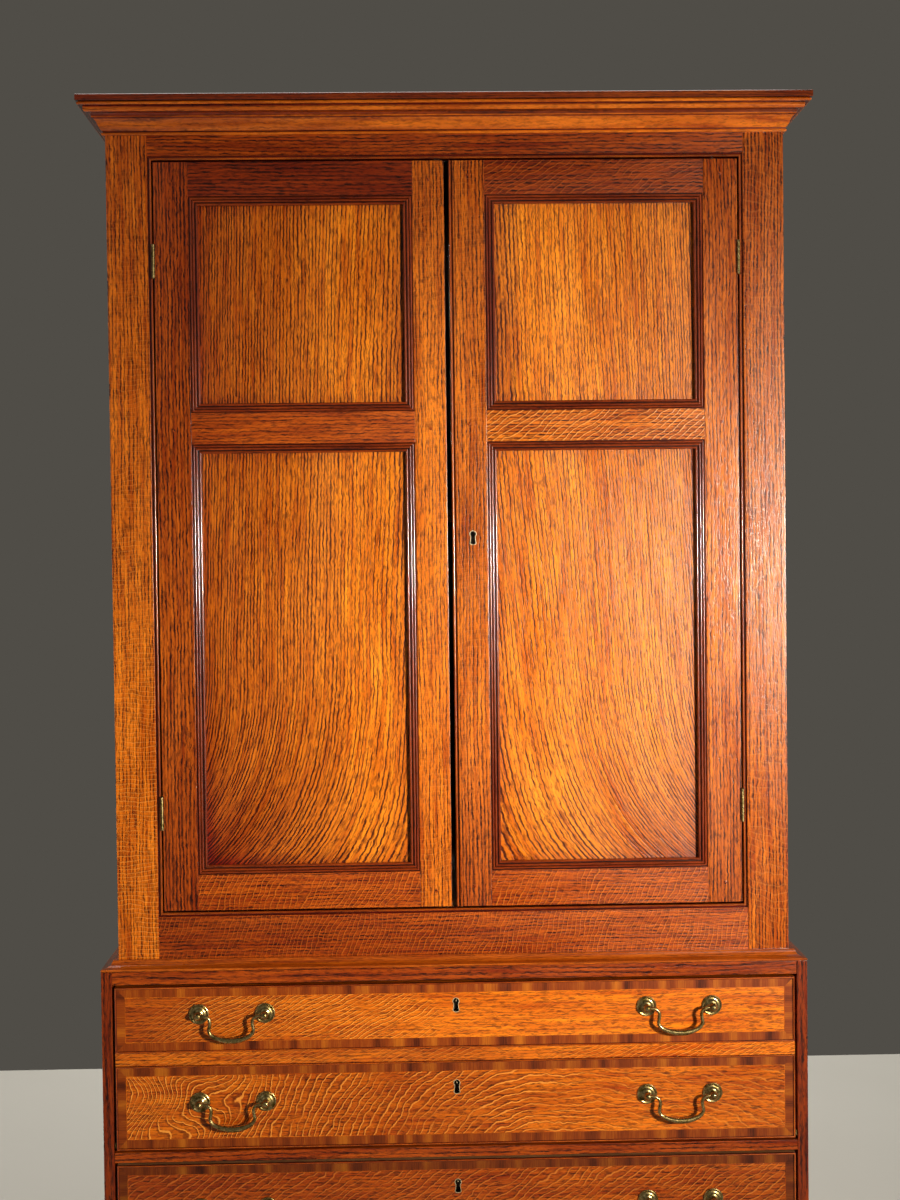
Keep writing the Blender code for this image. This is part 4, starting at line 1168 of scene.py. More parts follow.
@dataclass
class Door(Assembly):
    """One door: stiles, rails, two reeded and panelled windows, pegs, and the right one's bead and keyhole."""

    side: Side = Side.LEFT
    meeting_edge: float = 3.5
    hinge_stile: float = 50.0
    meeting_stile: float = 46.0
    top_rail: float = 49.0
    middle_rail: float = 45.0
    bottom_rail: float = 52.0
    upper_window: float = 314.0
    tongue: float = 8.0
    peg: float = 2.5
    keyhole_in: float = 30.0
    keyhole_drop: float = 543.0

    @property
    def beaded(self) -> bool:
        """Whether the meeting edge has a bead, with the keyhole beside it."""
        return self.side is Side.RIGHT

    @property
    def window(self) -> tuple[float, float]:
        """The low and high x between the stiles."""
        return facing(self.side, self.meeting_edge + self.meeting_stile, HINGE_EDGE - self.hinge_stile)

    def build(self) -> None:
        """Model the door's joinery and panels."""
        word = self.side.word
        low, high = span(f"{word}_door_frame")
        piece = self.start(f"{word}_door_joinery", f"{word}_door", "oak", f"{word}_door_frame")
        self.build_meeting_stile(piece, low, high)
        self.build_hinge_stile(piece, low, high)
        head, foot = high.z - self.top_rail, low.z + self.bottom_rail
        split = head - self.upper_window
        left, right = self.window
        rails = {"top_rail": (head, high.z), "middle_rail": (split - self.middle_rail, split),
                 "bottom_rail": (low.z, foot)}
        for name, (under, over) in rails.items():
            self.build_rail(piece, name, Vector((left, low.y, under)), Vector((right, high.y, over)))
        self.build_window(piece, "upper", low.y, split, head)
        self.build_window(piece, "lower", low.y, foot, split - self.middle_rail)

    def build_meeting_stile(self, piece: Piece, low: Vector, high: Vector) -> None:
        """Model the stile where the doors meet, with the right door's keyhole and bead.

        Args:
            piece: The door's joinery.
            low: The door's low corner.
            high: The door's high corner.
        """
        sign = self.side.value
        key = Vector((sign * (self.meeting_edge + self.keyhole_in), low.y, high.z - self.keyhole_drop))

        def worn(place: Vector) -> float:
            """Painted shade at head and foot, a painted lift below the head on the left door, and dark handling marks
            round the right door's keyhole.

            Args:
                place: A place on the stile.

            Returns:
                Its shade.
            """
            far = math.hypot((place.x / MM - key.x) / 0.8, (place.z / MM - key.z) / 2.2)
            mark = -0.7 * math.exp(-(far / 24) ** 2) if self.beaded else 0.3 * fade(place.z, 1.9, 1.5)
            return mark - 0.5 * fade(place.z, 1.6, 1.95) - (1.0 if self.beaded else 0.3) * fade(place.z, 1.15, 0.88)

        left, right = facing(self.side, self.meeting_edge + (QUIRK_WIDTH if self.beaded else 0.0),
                             self.meeting_edge + self.meeting_stile)
        stile = board("meeting_stile", (left, low.y, low.z), (right, high.y, high.z), 0.6, 23)
        piece.take(stile, Finish.FRAME, Way.UPRIGHT, 0.2, None, worn, slanted(6, 7, 0.15))
        if self.beaded:
            keyhole(piece, [stile], key.x, low.y, key.z, False)
            corner = Vector((sign * self.meeting_edge, low.y, low.z))
            bead = length("meeting_bead", [(QUIRK_WIDTH - a, b) for a, b in QUIRK_BEAD], corner, Z, X * sign, Y,
                          high.z - low.z)
            piece.take(bead, Finish.BEAD, Way.UPRIGHT, 0.2, None, quirk_shade(low.y))

    def build_hinge_stile(self, piece: Piece, low: Vector, high: Vector) -> None:
        """Model the stile at the hinges, with painted shade towards its ends.

        Args:
            piece: The door's joinery.
            low: The door's low corner.
            high: The door's high corner.
        """
        left, right = facing(self.side, HINGE_EDGE - self.hinge_stile, HINGE_EDGE)
        stile = board("hinge_stile", (left, low.y, low.z), (right, high.y, high.z), 0.6, 8)
        notch_hinges(stile)
        # Painted light: the stile darkens towards its ends as the key's light falls off, and the right one's raised
        # tone paints its sheen between them.
        tone, head, foot = (0.55, 1.1, 1.2) if self.beaded else (-0.5, 0.6, 0.5)
        piece.take(stile, Finish.FRAME, Way.UPRIGHT, tone, None,
                   lambda place: -head * fade(place.z, 1.45, 1.95) - foot * fade(place.z, 1.25, 0.9))

    def build_rail(self, piece: Piece, name: str, low: Vector, high: Vector) -> None:
        """Model a rail and the pegs through its two tenons.

        Args:
            piece: The door's joinery.
            name: top_rail, middle_rail or bottom_rail.
            low: The rail's low corner.
            high: The rail's high corner.
        """
        sign = self.side.value
        # Painted shade: the top rails' tones are dropped low, darker towards the door's head as the light falls off.
        tone, flow = {"top_rail": (-0.4 if self.beaded else -1.0, slanted(32, 8, 0.5 if self.beaded else 0.0)),
                      "middle_rail": (0.25, slanted(38, 8, 0.8 if self.beaded else 0.15)),
                      "bottom_rail": (0.35, slanted(66, 7.5, 0.6))}[name]
        rail = board(name, (low.x, low.y + 0.15, low.z), (high.x, high.y - 0.15, high.z), 0.3)
        finish = Finish.FRAME if name == "middle_rail" and self.beaded else Finish.DARK
        piece.take(rail, finish, Way.LEVEL, tone, flow=flow)
        rings = ((self.peg, 0), (self.peg, 3.0), (self.peg - 0.4, 3.1), (0, 3.12))
        for x in (self.meeting_edge + self.meeting_stile / 2, HINGE_EDGE - self.hinge_stile / 2):
            spot = Vector((sign * x, low.y + 3, (low.z + high.z) / 2 + 3 * sign))
            piece.take(turned("peg", spot, -Y, rings, 10), Finish.FRAME, Way.DEPTH, -0.9)

    def build_window(self, piece: Piece, name: str, front: float, under: float, over: float) -> None:
        """Model a window's reeds, the bevel behind and the panel between them.

        Args:
            piece: The door's joinery.
            name: upper or lower.
            front: The door's front face.
            under: Height of the rail's edge under the window.
            over: Height of the rail's edge over it.
        """
        left, right = self.window
        corners = ((left, under), (right, over))
        reeds = ring(f"{name}_reeds", *corners, front, REEDS)
        piece.take_ring(reeds, Finish.BEAD, -0.35, shade=self.groove_shade(*corners))
        piece.take_ring(ring(f"{name}_rear", *corners, front, REAR_BEVEL), Finish.FRAME, -0.1)
        self.build_panel(name)

    @staticmethod
    def groove_shade(low: tuple[float, float], high: tuple[float, float]) -> Shade:
        """Darken the reeds, and paint shade nearly black into the grooves between them.

        Args:
            low: The window's low x and z.
            high: The window's high x and z.

        Returns:
            Shading by place.
        """
        def shade(place: Vector) -> float:
            """Painted shade, nearly black, in a groove; dark on a reed.

            Args:
                place: A place on the reeds.

            Returns:
                Its shade.
            """
            x, z = place.x / MM, place.z / MM
            inset = min(x - low[0], high[0] - x, z - low[1], high[1] - z)
            return -2.0 if any(a <= inset <= b for a, b in GROOVES) else -0.6

        return shade

    def build_panel(self, name: str) -> None:
        """Model a panel whose grain leans and sweeps as sawn near the butt of the tree.

        Args:
            name: upper or lower.
        """
        sign, label = self.side.value, f"{self.side.word}_{name}"
        node = label + "_panel"
        low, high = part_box(node)
        middle, half = (low + high) / 2, (high - low) / 2
        lower = name == "lower"
        steps = PANEL_TONES[label]

        def sweep(place: Vector) -> float:
            """How far the grain has moved sideways at a place.

            Args:
                place: A place on the panel.

            Returns:
                The move in metres.
            """
            down = max(0.0, (middle.z - half.z * 0.05 - place.z) / (half.z * 0.95)) if lower else 0.0
            outer = 0.5 + 0.5 * sign * (place.x - middle.x) / half.x
            lean = (0.08 if label == "right_lower" else 0.03) * sign * (place.z - middle.z)
            denser = sign * half.x * outer * (0.55 * outer - 0.3)
            return -sign * 0.15 * down ** 2.3 * (0.1 + 0.9 * outer) + lean + denser

        def shade(place: Vector) -> float:
            """Browner and paler strips side by side, painted shade near the moulding, and darker at the butt and
            towards a lower panel's foot.

            Args:
                place: A place on the panel.

            Returns:
                Its shade.
            """
            across = (place.x - low.x) / (high.x - low.x)
            tone = blended(steps, across) - (0.25 * fade(place.z, middle.z, low.z) if lower else 0.0)
            edge = min(half.x - abs(place.x - middle.x), half.z - abs(place.z - middle.z)) / MM - self.tongue
            outer = 0.5 - 0.5 * sign * (place.x - middle.x) / half.x
            butt = math.hypot(outer / 0.5, (place.z - low.z) / (high.z - low.z) / 0.2) if lower else 9.0
            # Painted shade: the panel darkens within 16 mm of the moulding.
            return tone - 0.4 * max(0.0, 1 - edge / 16) - 0.6 * math.exp(-butt ** 2)

        piece = self.start(node + "_oak", f"{self.side.word}_door", "oak_panel", node)
        panel = board(node, low / MM, high / MM, 0, 48)
        piece.take(panel, Finish.PANEL, Way.UPRIGHT, 0.0, sweep, shade)


# The proud round bead round a drawer face
COCKBEAD: Outline = [(0, 1.2), (0, -0.8)] + arc((1.5, -0.7), (1.5, 1.5), 180, 360) + [(3, 1.2)]


def front_slab(name: str, foot: float, head: float) -> Solid:
    """Model the thick wood behind a drawer front's veneer."""
    return board(name, (-DRAWER_HALF, DRAWER_FACE + VENEER, foot), (DRAWER_HALF, DRAWER_FACE + DRAWER_THICK, head), 0.5)


@dataclass
class BeadedFace:
    """The face of a drawer: cockbead, crossbanding, pale stringing and a figured field.

    It goes from foot to head, key is its keyhole's height, and its tones run
    from left to right.
    """

    foot: float
    head: float
    key: float
    tones: Marks = ((-0.45, -0.2), (-0.2, -0.1), (0.0, -0.1), (0.2, 0.2), (0.45, 0.1))
    bead: float = 3.0
    crown: float = 1.8
    band: float = 12.0
    string: float = 0.6

    def build(self, piece: Piece, slab: Solid, tone: float, flow: Flow) -> None:
        """Model the face on its slab.

        Args:
            piece: The piece that takes it.
            slab: The thick wood behind, cut for the keyhole.
            tone: The field's tone.
            flow: The run of its fleck.
        """
        low, high = (-DRAWER_HALF, self.foot), (DRAWER_HALF, self.head)
        bead = ring("cockbead", low, high, DRAWER_FACE, COCKBEAD)
        # Painted shade and highlight: the cockbead's feet are nearly black in the crevices either side of it, and its
        # crown is lifted a little.
        piece.take_ring(bead, Finish.BEAD, 0.2,
                        shade=lambda place: 0.1 if place.y / MM < DRAWER_FACE - self.crown else -1.9)
        inner = self.bead + self.band
        edge = inner + self.string
        for near, far, finish, lift in ((self.bead, inner, Finish.CROSSBAND, 0.0), (inner, edge, Finish.FRONT, 0.35)):
            flat = [(near, 0), (near, VENEER), (far, VENEER), (far, 0)]
            strips = ring("veneer", low, high, DRAWER_FACE, flat)
            piece.take_ring(strips, finish, tone + lift, crossed=finish is Finish.CROSSBAND)
        leaf = board("field", (low[0] + edge, DRAWER_FACE, low[1] + edge),
                     (high[0] - edge, DRAWER_FACE + VENEER, high[1] - edge), 0, 40)
        keyhole(piece, [leaf, slab], 0.0, DRAWER_FACE, self.key)
        piece.take(leaf, Finish.FRONT, Way.LEVEL, tone, None, lambda place: blended(self.tones, place.x), flow)


@dataclass
class WritingDrawer(Assembly):
    """The writing drawer: fall front with two dummy faces, its leather and pivots, tray and pigeonholes."""

    strip: tuple[float, float] = (644.8, 663.8)  # foot and head, between the dummy faces
    keys: tuple[float, float] = (611.8, 731.8)  # heights of their keyholes
    wall: float = 12.0
    writing_level: float = 546.3
    columns: int = 6
    cell: tuple[float, float] = (155.2, 86.0)  # a pigeonhole's width and height
    partition: float = 6.0
    tooling: tuple[tuple[float, float], ...] = ((14.0, 1.6), (18.5, 0.8))  # inset and width
    lower_tones: Marks = ((-0.45, 0.3), (-0.2, -0.1), (0.0, -0.2), (0.2, 0.5), (0.45, 0.2))
    upper_tones: Marks = ((-0.45, -0.75), (-0.2, 0.0), (0.0, 0.4), (0.2, 0.6), (0.45, 0.5))

    def build(self) -> None:
        """Model the drawer."""
        self.build_fall()
        self.build_leather()
        self.build_tray()
        self.build_gallery()

    def build_fall(self) -> None:
        """Model the fall: its slab, the plain strip and the two dummy faces."""
        low, high = span("fall_front")
        piece = self.start("fall_face", "fall", "oak_front", "fall_front")
        slab = front_slab("fall_slab", low.z, high.z)
        under, over = self.strip
        # The upper face's higher tone is partly painted light, brighter higher up the front, nearer the key's pool.
        BeadedFace(low.z, under, self.keys[0], self.lower_tones).build(piece, slab, 0.0, self.lower_flow)
        BeadedFace(over, high.z, self.keys[1], self.upper_tones).build(piece, slab, 0.3, self.upper_flow)
        strip = board("fall_strip", (-DRAWER_HALF, DRAWER_FACE, under + 0.1),
                      (DRAWER_HALF, DRAWER_FACE + VENEER, over - 0.1), 0.3, 12)
        piece.take(strip, Finish.FRONT, Way.LEVEL, -0.15, None,
                   lambda place: 0.2 * fade(place.x, -0.1, -0.45) + 1.15 * fade(place.x, 0.0, 0.35),
                   slanted(24, 5.5, 0.5))
        piece.take(slab, Finish.FRAME, Way.LEVEL, -0.2)
        for side in Side:
            node = f"fall_pivot_{side.word}"
            pivot = self.start(node + "_brass", "writing_drawer", "brass", node)
            pivot.take(eased_copy(node, 0.4), Finish.BRASS)

    @staticmethod
    def upper_flow(place: Vector) -> tuple[float, float]:
        """Ribbons that climb to the right over the left half and thin out beyond the keyhole."""
        crossed, _ = slanted(28, 6)(place)
        return crossed, 0.1 + 0.9 * fade(place.x, -0.47, -0.38) * fade(place.x, 0.04, -0.08)

    @staticmethod
    def lower_flow(place: Vector) -> tuple[float, float]:
        """Ribbons contorted at the left, steep in the middle, and arched over to level at the right.

        Args:
            place: A place on the face.

        Returns:
            The count of ribbons crossed there, and how strongly they show.
        """
        aside = place.x - 0.13
        crossed = math.hypot(aside if aside < 0 else 0.45 * aside, place.z - 0.42) / (9.8 * MM)
        twist = fade(place.x, -0.24, -0.38) * 2.2 * math.sin(place.x / 0.03 + 1.5 * math.sin(place.z / 0.02))
        return crossed + twist, 1.0 - 0.65 * fade(place.x, 0.1, 0.22)

    def build_leather(self) -> None:
        """Model the writing leather with two tooled lines near its edge."""
        low, high = span("writing_leather")
        piece = self.start("writing_leather_hide", "fall", "leather", "writing_leather")
        face = high.y - 0.12  # of the hide, under the gold
        piece.take(board("hide", (low.x, low.y, low.z), (high.x, face, high.z), 0.5), Finish.LEATHER)
        for inset, wide in self.tooling:
            line = [(inset, 0), (inset, 0.11), (inset + wide, 0.11), (inset + wide, 0)]
            piece.take_ring(ring("tooling", (low.x, low.z), (high.x, high.z), face, line), Finish.GILT)

    def build_tray(self) -> None:
        """Model the tray's sides, back and writing board."""
        low, high = span("secretaire_tray")
        inner = high.x - self.wall
        piece = self.start("secretaire_tray_boards", "writing_drawer", "oak_inside", "secretaire_tray")
        for side in Side:
            left, right = facing(side, inner, high.x)
            wall = board("tray_side", (left, low.y, low.z), (right, high.y, high.z))
            piece.take(wall, Finish.INSIDE, Way.SIDE_LEVEL)
        level = self.writing_level
        back = board("tray_back", (-inner, high.y - self.wall, level), (inner, high.y, high.z), 0.5)
        piece.take(back, Finish.INSIDE, Way.LEVEL)
        floor = board("tray_floor", (-inner, low.y, level - self.wall), (inner, high.y, level), 0.5)
        piece.take(floor, Finish.FRAME, Way.SHELF, 0.05)

    def build_gallery(self) -> None:
        """Model the pigeonholes: shelves, partitions and a back."""
        low, high = span("pigeonholes")
        piece = self.start("pigeonholes_oak", "writing_drawer", "oak_inside", "pigeonholes")
        wide, tall = self.cell
        levels = (low.z, low.z + self.partition + tall, high.z - self.partition)
        for i, under in enumerate(levels):
            front = low.y + 0.3 if i == 1 else low.y  # the middle shelf lies back a little
            shelf = board("gallery_shelf", (low.x, front, under), (high.x, high.y, under + self.partition), 0.9)
            piece.take(shelf, Finish.FRAME, Way.SHELF, 0.1)
        for row, under in enumerate(levels[:2]):
            over = levels[row + 1]
            for i in range(self.columns + 1):
                at = low.x + i * (wide + self.partition)
                part = board("partition", (at, low.y + 0.5, under + self.partition),
                             (min(at + self.partition, high.x), high.y - self.partition, over), 0.7)
                piece.take(part, Finish.FRAME, Way.SIDE_UPRIGHT, 0.1)
        back = board("gallery_back", (low.x, high.y - self.partition, low.z + self.partition),
                     (high.x, high.y, high.z - self.partition), 0)
        piece.take(back, Finish.INSIDE, Way.LEVEL)


@dataclass
class LongDrawer(Assembly):
    """A long drawer: a beaded front lapped over a plain box."""

    row: str = "upper"
    face: tuple[float, float] = (347.8, 499.8)  # foot and head
    key: float = 465.8
    wall: float = 10.0
    floor: float = 8.0
    side_drop: float = 5.0  # from the front's head to the sides
    back_drop: float = 4.0  # from the sides to the back
    # The upper drawer's low tone is partly painted shade, darker down the front as the light falls off.
    tone: float = -0.65
    slope: float = 35.0

    def build(self) -> None:
        """Model the drawer."""
        node = f"{self.row}_long_drawer"
        low, high = span(node)
        piece = self.start(f"{node}_joinery", f"{self.row}_drawer", "oak_front", node)
        slab = front_slab("drawer_slab", *self.face)
        BeadedFace(*self.face, self.key).build(piece, slab, self.tone, slanted(self.slope, 9, 0.7))
        piece.take(slab, Finish.INSIDE, Way.LEVEL, -0.15)
        inner, start, rear = high.x - self.wall, DRAWER_FACE + DRAWER_THICK, high.y
        floor, top = low.z + self.floor, self.face[1] - self.side_drop
        for side in Side:
            left, right = facing(side, inner, high.x)
            wall = board("drawer_side", (left, start, low.z), (right, rear, top))
            piece.take(wall, Finish.INSIDE, Way.SIDE_LEVEL)
        back = board("drawer_back", (-inner, rear - self.wall, floor), (inner, rear, top - self.back_drop), 0.5)
        piece.take(back, Finish.INSIDE, Way.LEVEL)
        bottom = board("drawer_bottom", (-inner, start, low.z + 0.5), (inner, rear, floor), 0.4)
        piece.take(bottom, Finish.INSIDE, Way.SHELF, -0.1)


@dataclass
class LowerCase(Assembly):
    """The chest: sides, boards between the drawers, planked back, waist moulding and bracket base."""

    waist: tuple[float, float] = (22.3, 14.0)  # reach and height
    base: tuple[float, float] = (7.0, 130.0)  # reach and height
    base_wall: float = 20.0
    apron_half: float = 372.0
    side_apron: tuple[float, float] = (7.25, 118.5)  # middle and half length
    foot_rise: float = 20.0
    foot_curve: float = 55.0

    def build(self) -> None:
        """Model the case."""
        for side in Side:
            node = f"chest_side_{side.word}"
            piece = self.start(node + "_board", "carcass", "oak", node)
            low, high = span(node)
            # Painted shade and dark wood: each side's front edge is painted darker.
            piece.take(board(node, low, high), Finish.DARK, Way.SIDE_UPRIGHT, 0.0, None,
                       lambda place, edge=low.y + 0.5: -0.7 if place.y / MM < edge else 0.0)
        for node in ("chest_top", "secretaire_dustboard", "drawer_dustboard", "chest_floor"):
            piece = self.start(node + "_board", "carcass", "oak", node)
            piece.take(board(node, *span(node), 0.6), Finish.DARK, Way.SHELF, -0.05)
        self.plank_back("chest_back")
        self.build_waist()
        self.build_base()

    def build_waist(self) -> None:
        """Model the waist moulding: flat fillet, hollow slope and a paler lower edge."""
        low, high = span("face_frame")
        foot = span("waist_moulding")[0].z
        reach, tall = self.waist
        outline = [(0, 0), (reach - 0.4, 0), (reach, 0.4), (reach, 3.1)]
        outline += arc((reach, tall - 2), (reach - 8, tall - 5.5), -90, -180)[1:]
        outline += [(7, tall - 2), (7, tall - 0.5), (6.5, tall), (0, tall)]
        piece = self.start("waist_run", "carcass", "oak", "waist_moulding")
        run = round_case("waist", outline, high.x + 0.2, low.y - 0.2, span("press_back")[1].y, foot)
        piece.take_round(run, Finish.BEAD, 0.1, lambda place: 0.4 if place.z / MM < foot + 3.5 else 0.0)

    def build_base(self) -> None:
        """Model the bracket base: three mitred walls with a hollow top edge and shaped aprons."""
        low, high = span("bracket_base")
        out, tall = self.base
        front, back = low.y + out, out - self.base_wall
        outline = [(back, 0), (out - 0.4, 0), (out, 0.4), (out, tall - 15)]
        outline += arc((out, tall - 1.5), (out - 1.5, 12.5), -90, -180)
        outline += [(1.5, tall - 0.4), (1.1, tall), (back, tall)]
        walls = round_case("base", outline, high.x - out, front, span("chest_back")[1].y, 0)
        curve, rise = self.foot_curve, self.foot_rise

        def apron(reach: float) -> list[tuple[float, float]]:
            """The opening between two feet: upright, quarter round and level."""
            right = [(reach, -5)] + arc((reach - curve, rise), (curve, curve), 0, 90, 14)
            return right + [(-a, b) for a, b in reversed(right)]

        # The tools go well through the walls.
        tool = prism("apron_tool", [Vector((a, front - 30, b)) for a, b in apron(self.apron_half)], Y * 70)
        carve(walls["front"], tool)
        middle, reach = self.side_apron
        side_tool = prism("side_apron_tool", [Vector((-600, middle + a, b)) for a, b in apron(reach)], X * 1200)
        carve(walls["left"], side_tool)
        carve(walls["right"], side_tool)
        drop(tool, side_tool)
        piece = self.start("bracket_base_oak", "carcass", "oak", "bracket_base")
        piece.take_round(walls, Finish.DARK, 0.05)


@dataclass
class Handles(Assembly):
    """Eight swan-neck bails on pairs of turned roses."""

    out: float = 326.0
    spread: float = 96.0
    reach: float = 16.0
    # Name, the body that carries the roses, and height
    rows: tuple[tuple[str, str, float], ...] = (
        ("fall_upper", "fall", 719.8), ("fall_lower", "fall", 590.8),
        ("upper_drawer", "upper_drawer", 434.8), ("lower_drawer", "lower_drawer", 249.8))
    # Radius and reach: a moulded plate, a neck and a round knob
    rose: tuple[tuple[float, float], ...] = (
        (14.3, 0.05), (14.8, 0.5), (14.8, 1.4), (14.4, 2.2), (13.5, 2.7), (12.6, 2.6), (12.0, 2.1), (11.2, 2.0),
        (10.0, 2.3), (8.8, 2.9), (7.8, 3.6), (7.2, 4.3), (6.4, 4.8), (5.0, 5.2), (4.2, 5.8), (3.6, 6.8),
        (3.3, 8.2), (3.4, 9.8), (4.0, 10.8), (4.6, 11.6), (5.1, 12.6), (5.4, 14.0), (5.5, 16.0), (5.3, 17.8),
        (4.7, 19.2), (3.7, 20.4), (2.3, 21.1), (1.0, 21.4), (0.0, 21.4))
    # Place aside, place up and radius, from a pivot down to the middle
    neck: tuple[tuple[float, float, float], ...] = (
        (50.6, 0, 2.0), (44, 0, 2.1), (39, -0.3, 2.3), (34.6, -2.0, 2.45), (31.4, -5.8, 2.5), (30.6, -10.4, 2.5),
        (31.4, -15.6, 2.55), (32.2, -20.4, 2.6), (30.8, -25.0, 2.7), (27, -29.0, 2.95), (20, -32.6, 3.6),
        (10, -35.2, 4.35))
    middle: tuple[float, float, float] = (0, -36, 4.45)

    def build(self) -> None:
        """Model one rose and one bail and copy them to the eight places."""
        rose = turned("rose", Vector((0, DRAWER_FACE, 0)), -Y, self.rose, 36)
        bail = self.build_bail()
        for row, carrier, z in self.rows:
            for side in Side:
                name = f"{row}_{side.word}"
                x = side.value * self.out
                roses = self.start(name + "_roses", carrier, "brass", name + "_rose_left", name + "_rose_right")
                for end in Side:
                    roses.take(copied(rose, "rose", Vector((x + end.value * self.spread / 2, 0, z))), Finish.BRASS)
                swing = self.start(name + "_swan_bail", name + "_handle", "brass", name + "_bail")
                swing.take(copied(bail, "bail", Vector((x, 0, z))), Finish.BRASS)
        drop(rose, bail)

    def build_bail(self) -> Solid:
        """Sweep the bail along its neck and turn it to a mesh.

        Returns:
            The bail, at the middle of the chest's front.
        """
        only()
        bpy.ops.curve.primitive_bezier_curve_add(radius=MM)
        wire = settle("bail")
        points = list(self.neck) + [self.middle] + [(-x, z, r) for x, z, r in reversed(self.neck)]
        path = wire.data
        path.dimensions, path.bevel_depth, path.bevel_resolution = "3D", MM, 5
        path.resolution_u, path.use_fill_caps = 5, True
        spline = path.splines[0]
        spline.bezier_points.add(len(points) - 2)
        for knot, (x, z, radius) in zip(spline.bezier_points, points):
            knot.co = Vector((x, DRAWER_FACE - self.reach, z)) * MM
            knot.handle_left_type = knot.handle_right_type = "AUTO"
            knot.radius = radius
        only(wire)
        bpy.ops.object.convert(target="MESH")
        return bpy.context.object


@dataclass
class Fittings(Assembly):
    """Butt hinges with knuckles and screws, and the box lock on the right door."""

    barrel: float = 2.75
    knuckles: int = 5
    leaf: float = 1.1
    leaf_play: float = 0.3
    leaf_starts: tuple[float, float] = (1.0, 3.4)  # behind the axis, on the frame and on the door
    screws: tuple[float, ...] = (0.18, 0.5, 0.82)  # shares of a leaf's height
    plate: float = 2.0

    def build(self) -> None:
        """Model the hinges and the lock."""
        for side in Side:
            for end in HINGE_ENDS:
                self.build_hinge(side, f"{side.word}_door_{end}_hinge")
        self.build_lock()

    def build_hinge(self, side: Side, node: str) -> None:
        """Model one hinge: a knuckled barrel, the frame leaf, and the leaf that rides on the door.

        Args:
            side: The door's side.
            node: The hinge's node.
        """
        low, high = span(node)
        x, y = side.value * HINGE_AXIS[0], HINGE_AXIS[1]
        frame_start, door_start = (y + start for start in self.leaf_starts)
        full, waist, size = self.barrel, self.barrel - 0.6, high.z - low.z
        rings = [(1.2, 0.0), (waist, 0.15), (full, 0.8)]
        for i in range(1, self.knuckles):
            at = size * i / self.knuckles
            rings += [(full, at - 0.45), (waist, at - 0.2), (waist, at + 0.2), (full, at + 0.45)]
        rings += [(full, size - 0.8), (waist, size - 0.15), (0.0, size)]
        piece = self.start(node + "_brass", "carcass", "brass", node)
        piece.take(turned("barrel", Vector((x, y, low.z)), Z, rings, 20), Finish.BRASS)
        far = OPENING_HALF - 0.05
        left, right = facing(side, far - self.leaf, far)
        self.build_leaf(piece, Vector((left, frame_start, low.z)), Vector((right, high.y, high.z)), -side.value, 0.25)
        swing = self.start(node + "_door_leaf", f"{side.word}_door", "brass")
        far = HINGE_EDGE + 0.2
        left, right = facing(side, far - self.leaf, far)
        self.build_leaf(swing, Vector((left, door_start, low.z)), Vector((right, high.y, high.z)), side.value, 0.15)

    def build_leaf(self, piece: Piece, low: Vector, high: Vector, out: int, edge: float) -> None:
        """Model a hinge leaf, and a slotted screw that is copied to its three holes.

        Args:
            piece: The leaf's piece.
            low: The leaf's low corner, at the foot of the hinge.
            high: Its high corner, at the head of the hinge.
            out: The sign of x that its screwed face looks to.
            edge: Width of its eased edges.
        """
        leaf = board("hinge_leaf", low + Z * self.leaf_play, high - Z * self.leaf_play, edge)
        piece.take(leaf, Finish.BRASS)
        rings = ((1.9, -0.4), (1.9, 0.02), (1.6, 0.1), (0.8, 0.14), (0, 0.15))
        screw = turned("screw", Vector((0, 0, 0)), X * out, rings, 14)
        slot = board("slot", (-0.5, -2.5, -0.25), (0.5, 2.5, 0.25), 0)
        carve(screw, slot)
        face = (high.x if out > 0 else low.x) - out * 0.05
        for share in self.screws:
            spot = Vector((face, (low.y + high.y) / 2, low.z + (high.z - low.z) * share))
            piece.take(copied(screw, "screw", spot), Finish.BRASS)
        drop(screw, slot)

    def build_lock(self) -> None:
        """Model the lock: an eased iron box with a lipped plate, rivets and its drawn-in bolt."""
        low, high = span("door_lock")
        piece = self.start("door_lock_iron", "right_door", "iron", "door_lock")
        middle, back = (low.z + high.z) / 2, low.y + self.plate
        plate = board("lock_plate", (low.x, low.y, low.z), (high.x, back, high.z), 0.4)
        piece.take(plate, Finish.IRON)
        box = board("lock_box", (low.x + 1.5, back, low.z + 5), (high.x - 4, high.y - 0.8, high.z - 5), 1.2)
        piece.take(box, Finish.IRON)
        bolt = board("lock_bolt", (low.x + 0.2, back + 1, middle - 6), (low.x + 1.8, high.y - 2.5, middle + 6), 0.3)
        piece.take(bolt, Finish.LINER)
        rivet = turned("rivet", Vector((0, high.y - 0.85, 0)), Y, ((1.9, 0), (1.7, 0.5), (1.0, 0.8), (0, 0.85)), 12)
        for x in (low.x + 6, high.x - 9):
            for z in (low.z + 10, high.z - 10):
                piece.take(copied(rivet, "rivet", Vector((x, 0, z))), Finish.IRON)
        drop(rivet)


@dataclass(frozen=True)
class Lamp:
    """A square soft lamp: its place and aim, its side in metres, its watts, colour and beam in degrees."""

    name: str
    place: tuple[float, float, float]
    aim: tuple[float, float, float]
    size: float
    power: float
    colour: str = "#f4f2ee"
    spread: float = 180.0

    def build(self) -> None:
        """Set the lamp."""
        turn = (Vector(self.aim) - Vector(self.place)).to_track_quat("-Z", "Y").to_euler()
        bpy.ops.object.light_add(type="AREA", location=self.place, rotation=turn)
        lamp = bpy.context.object
        lamp.name, lamp.data.size, lamp.data.energy = self.name, self.size, self.power
        lamp.data.color = linear(self.colour)[:3]
        lamp.data.spread = math.radians(self.spread)


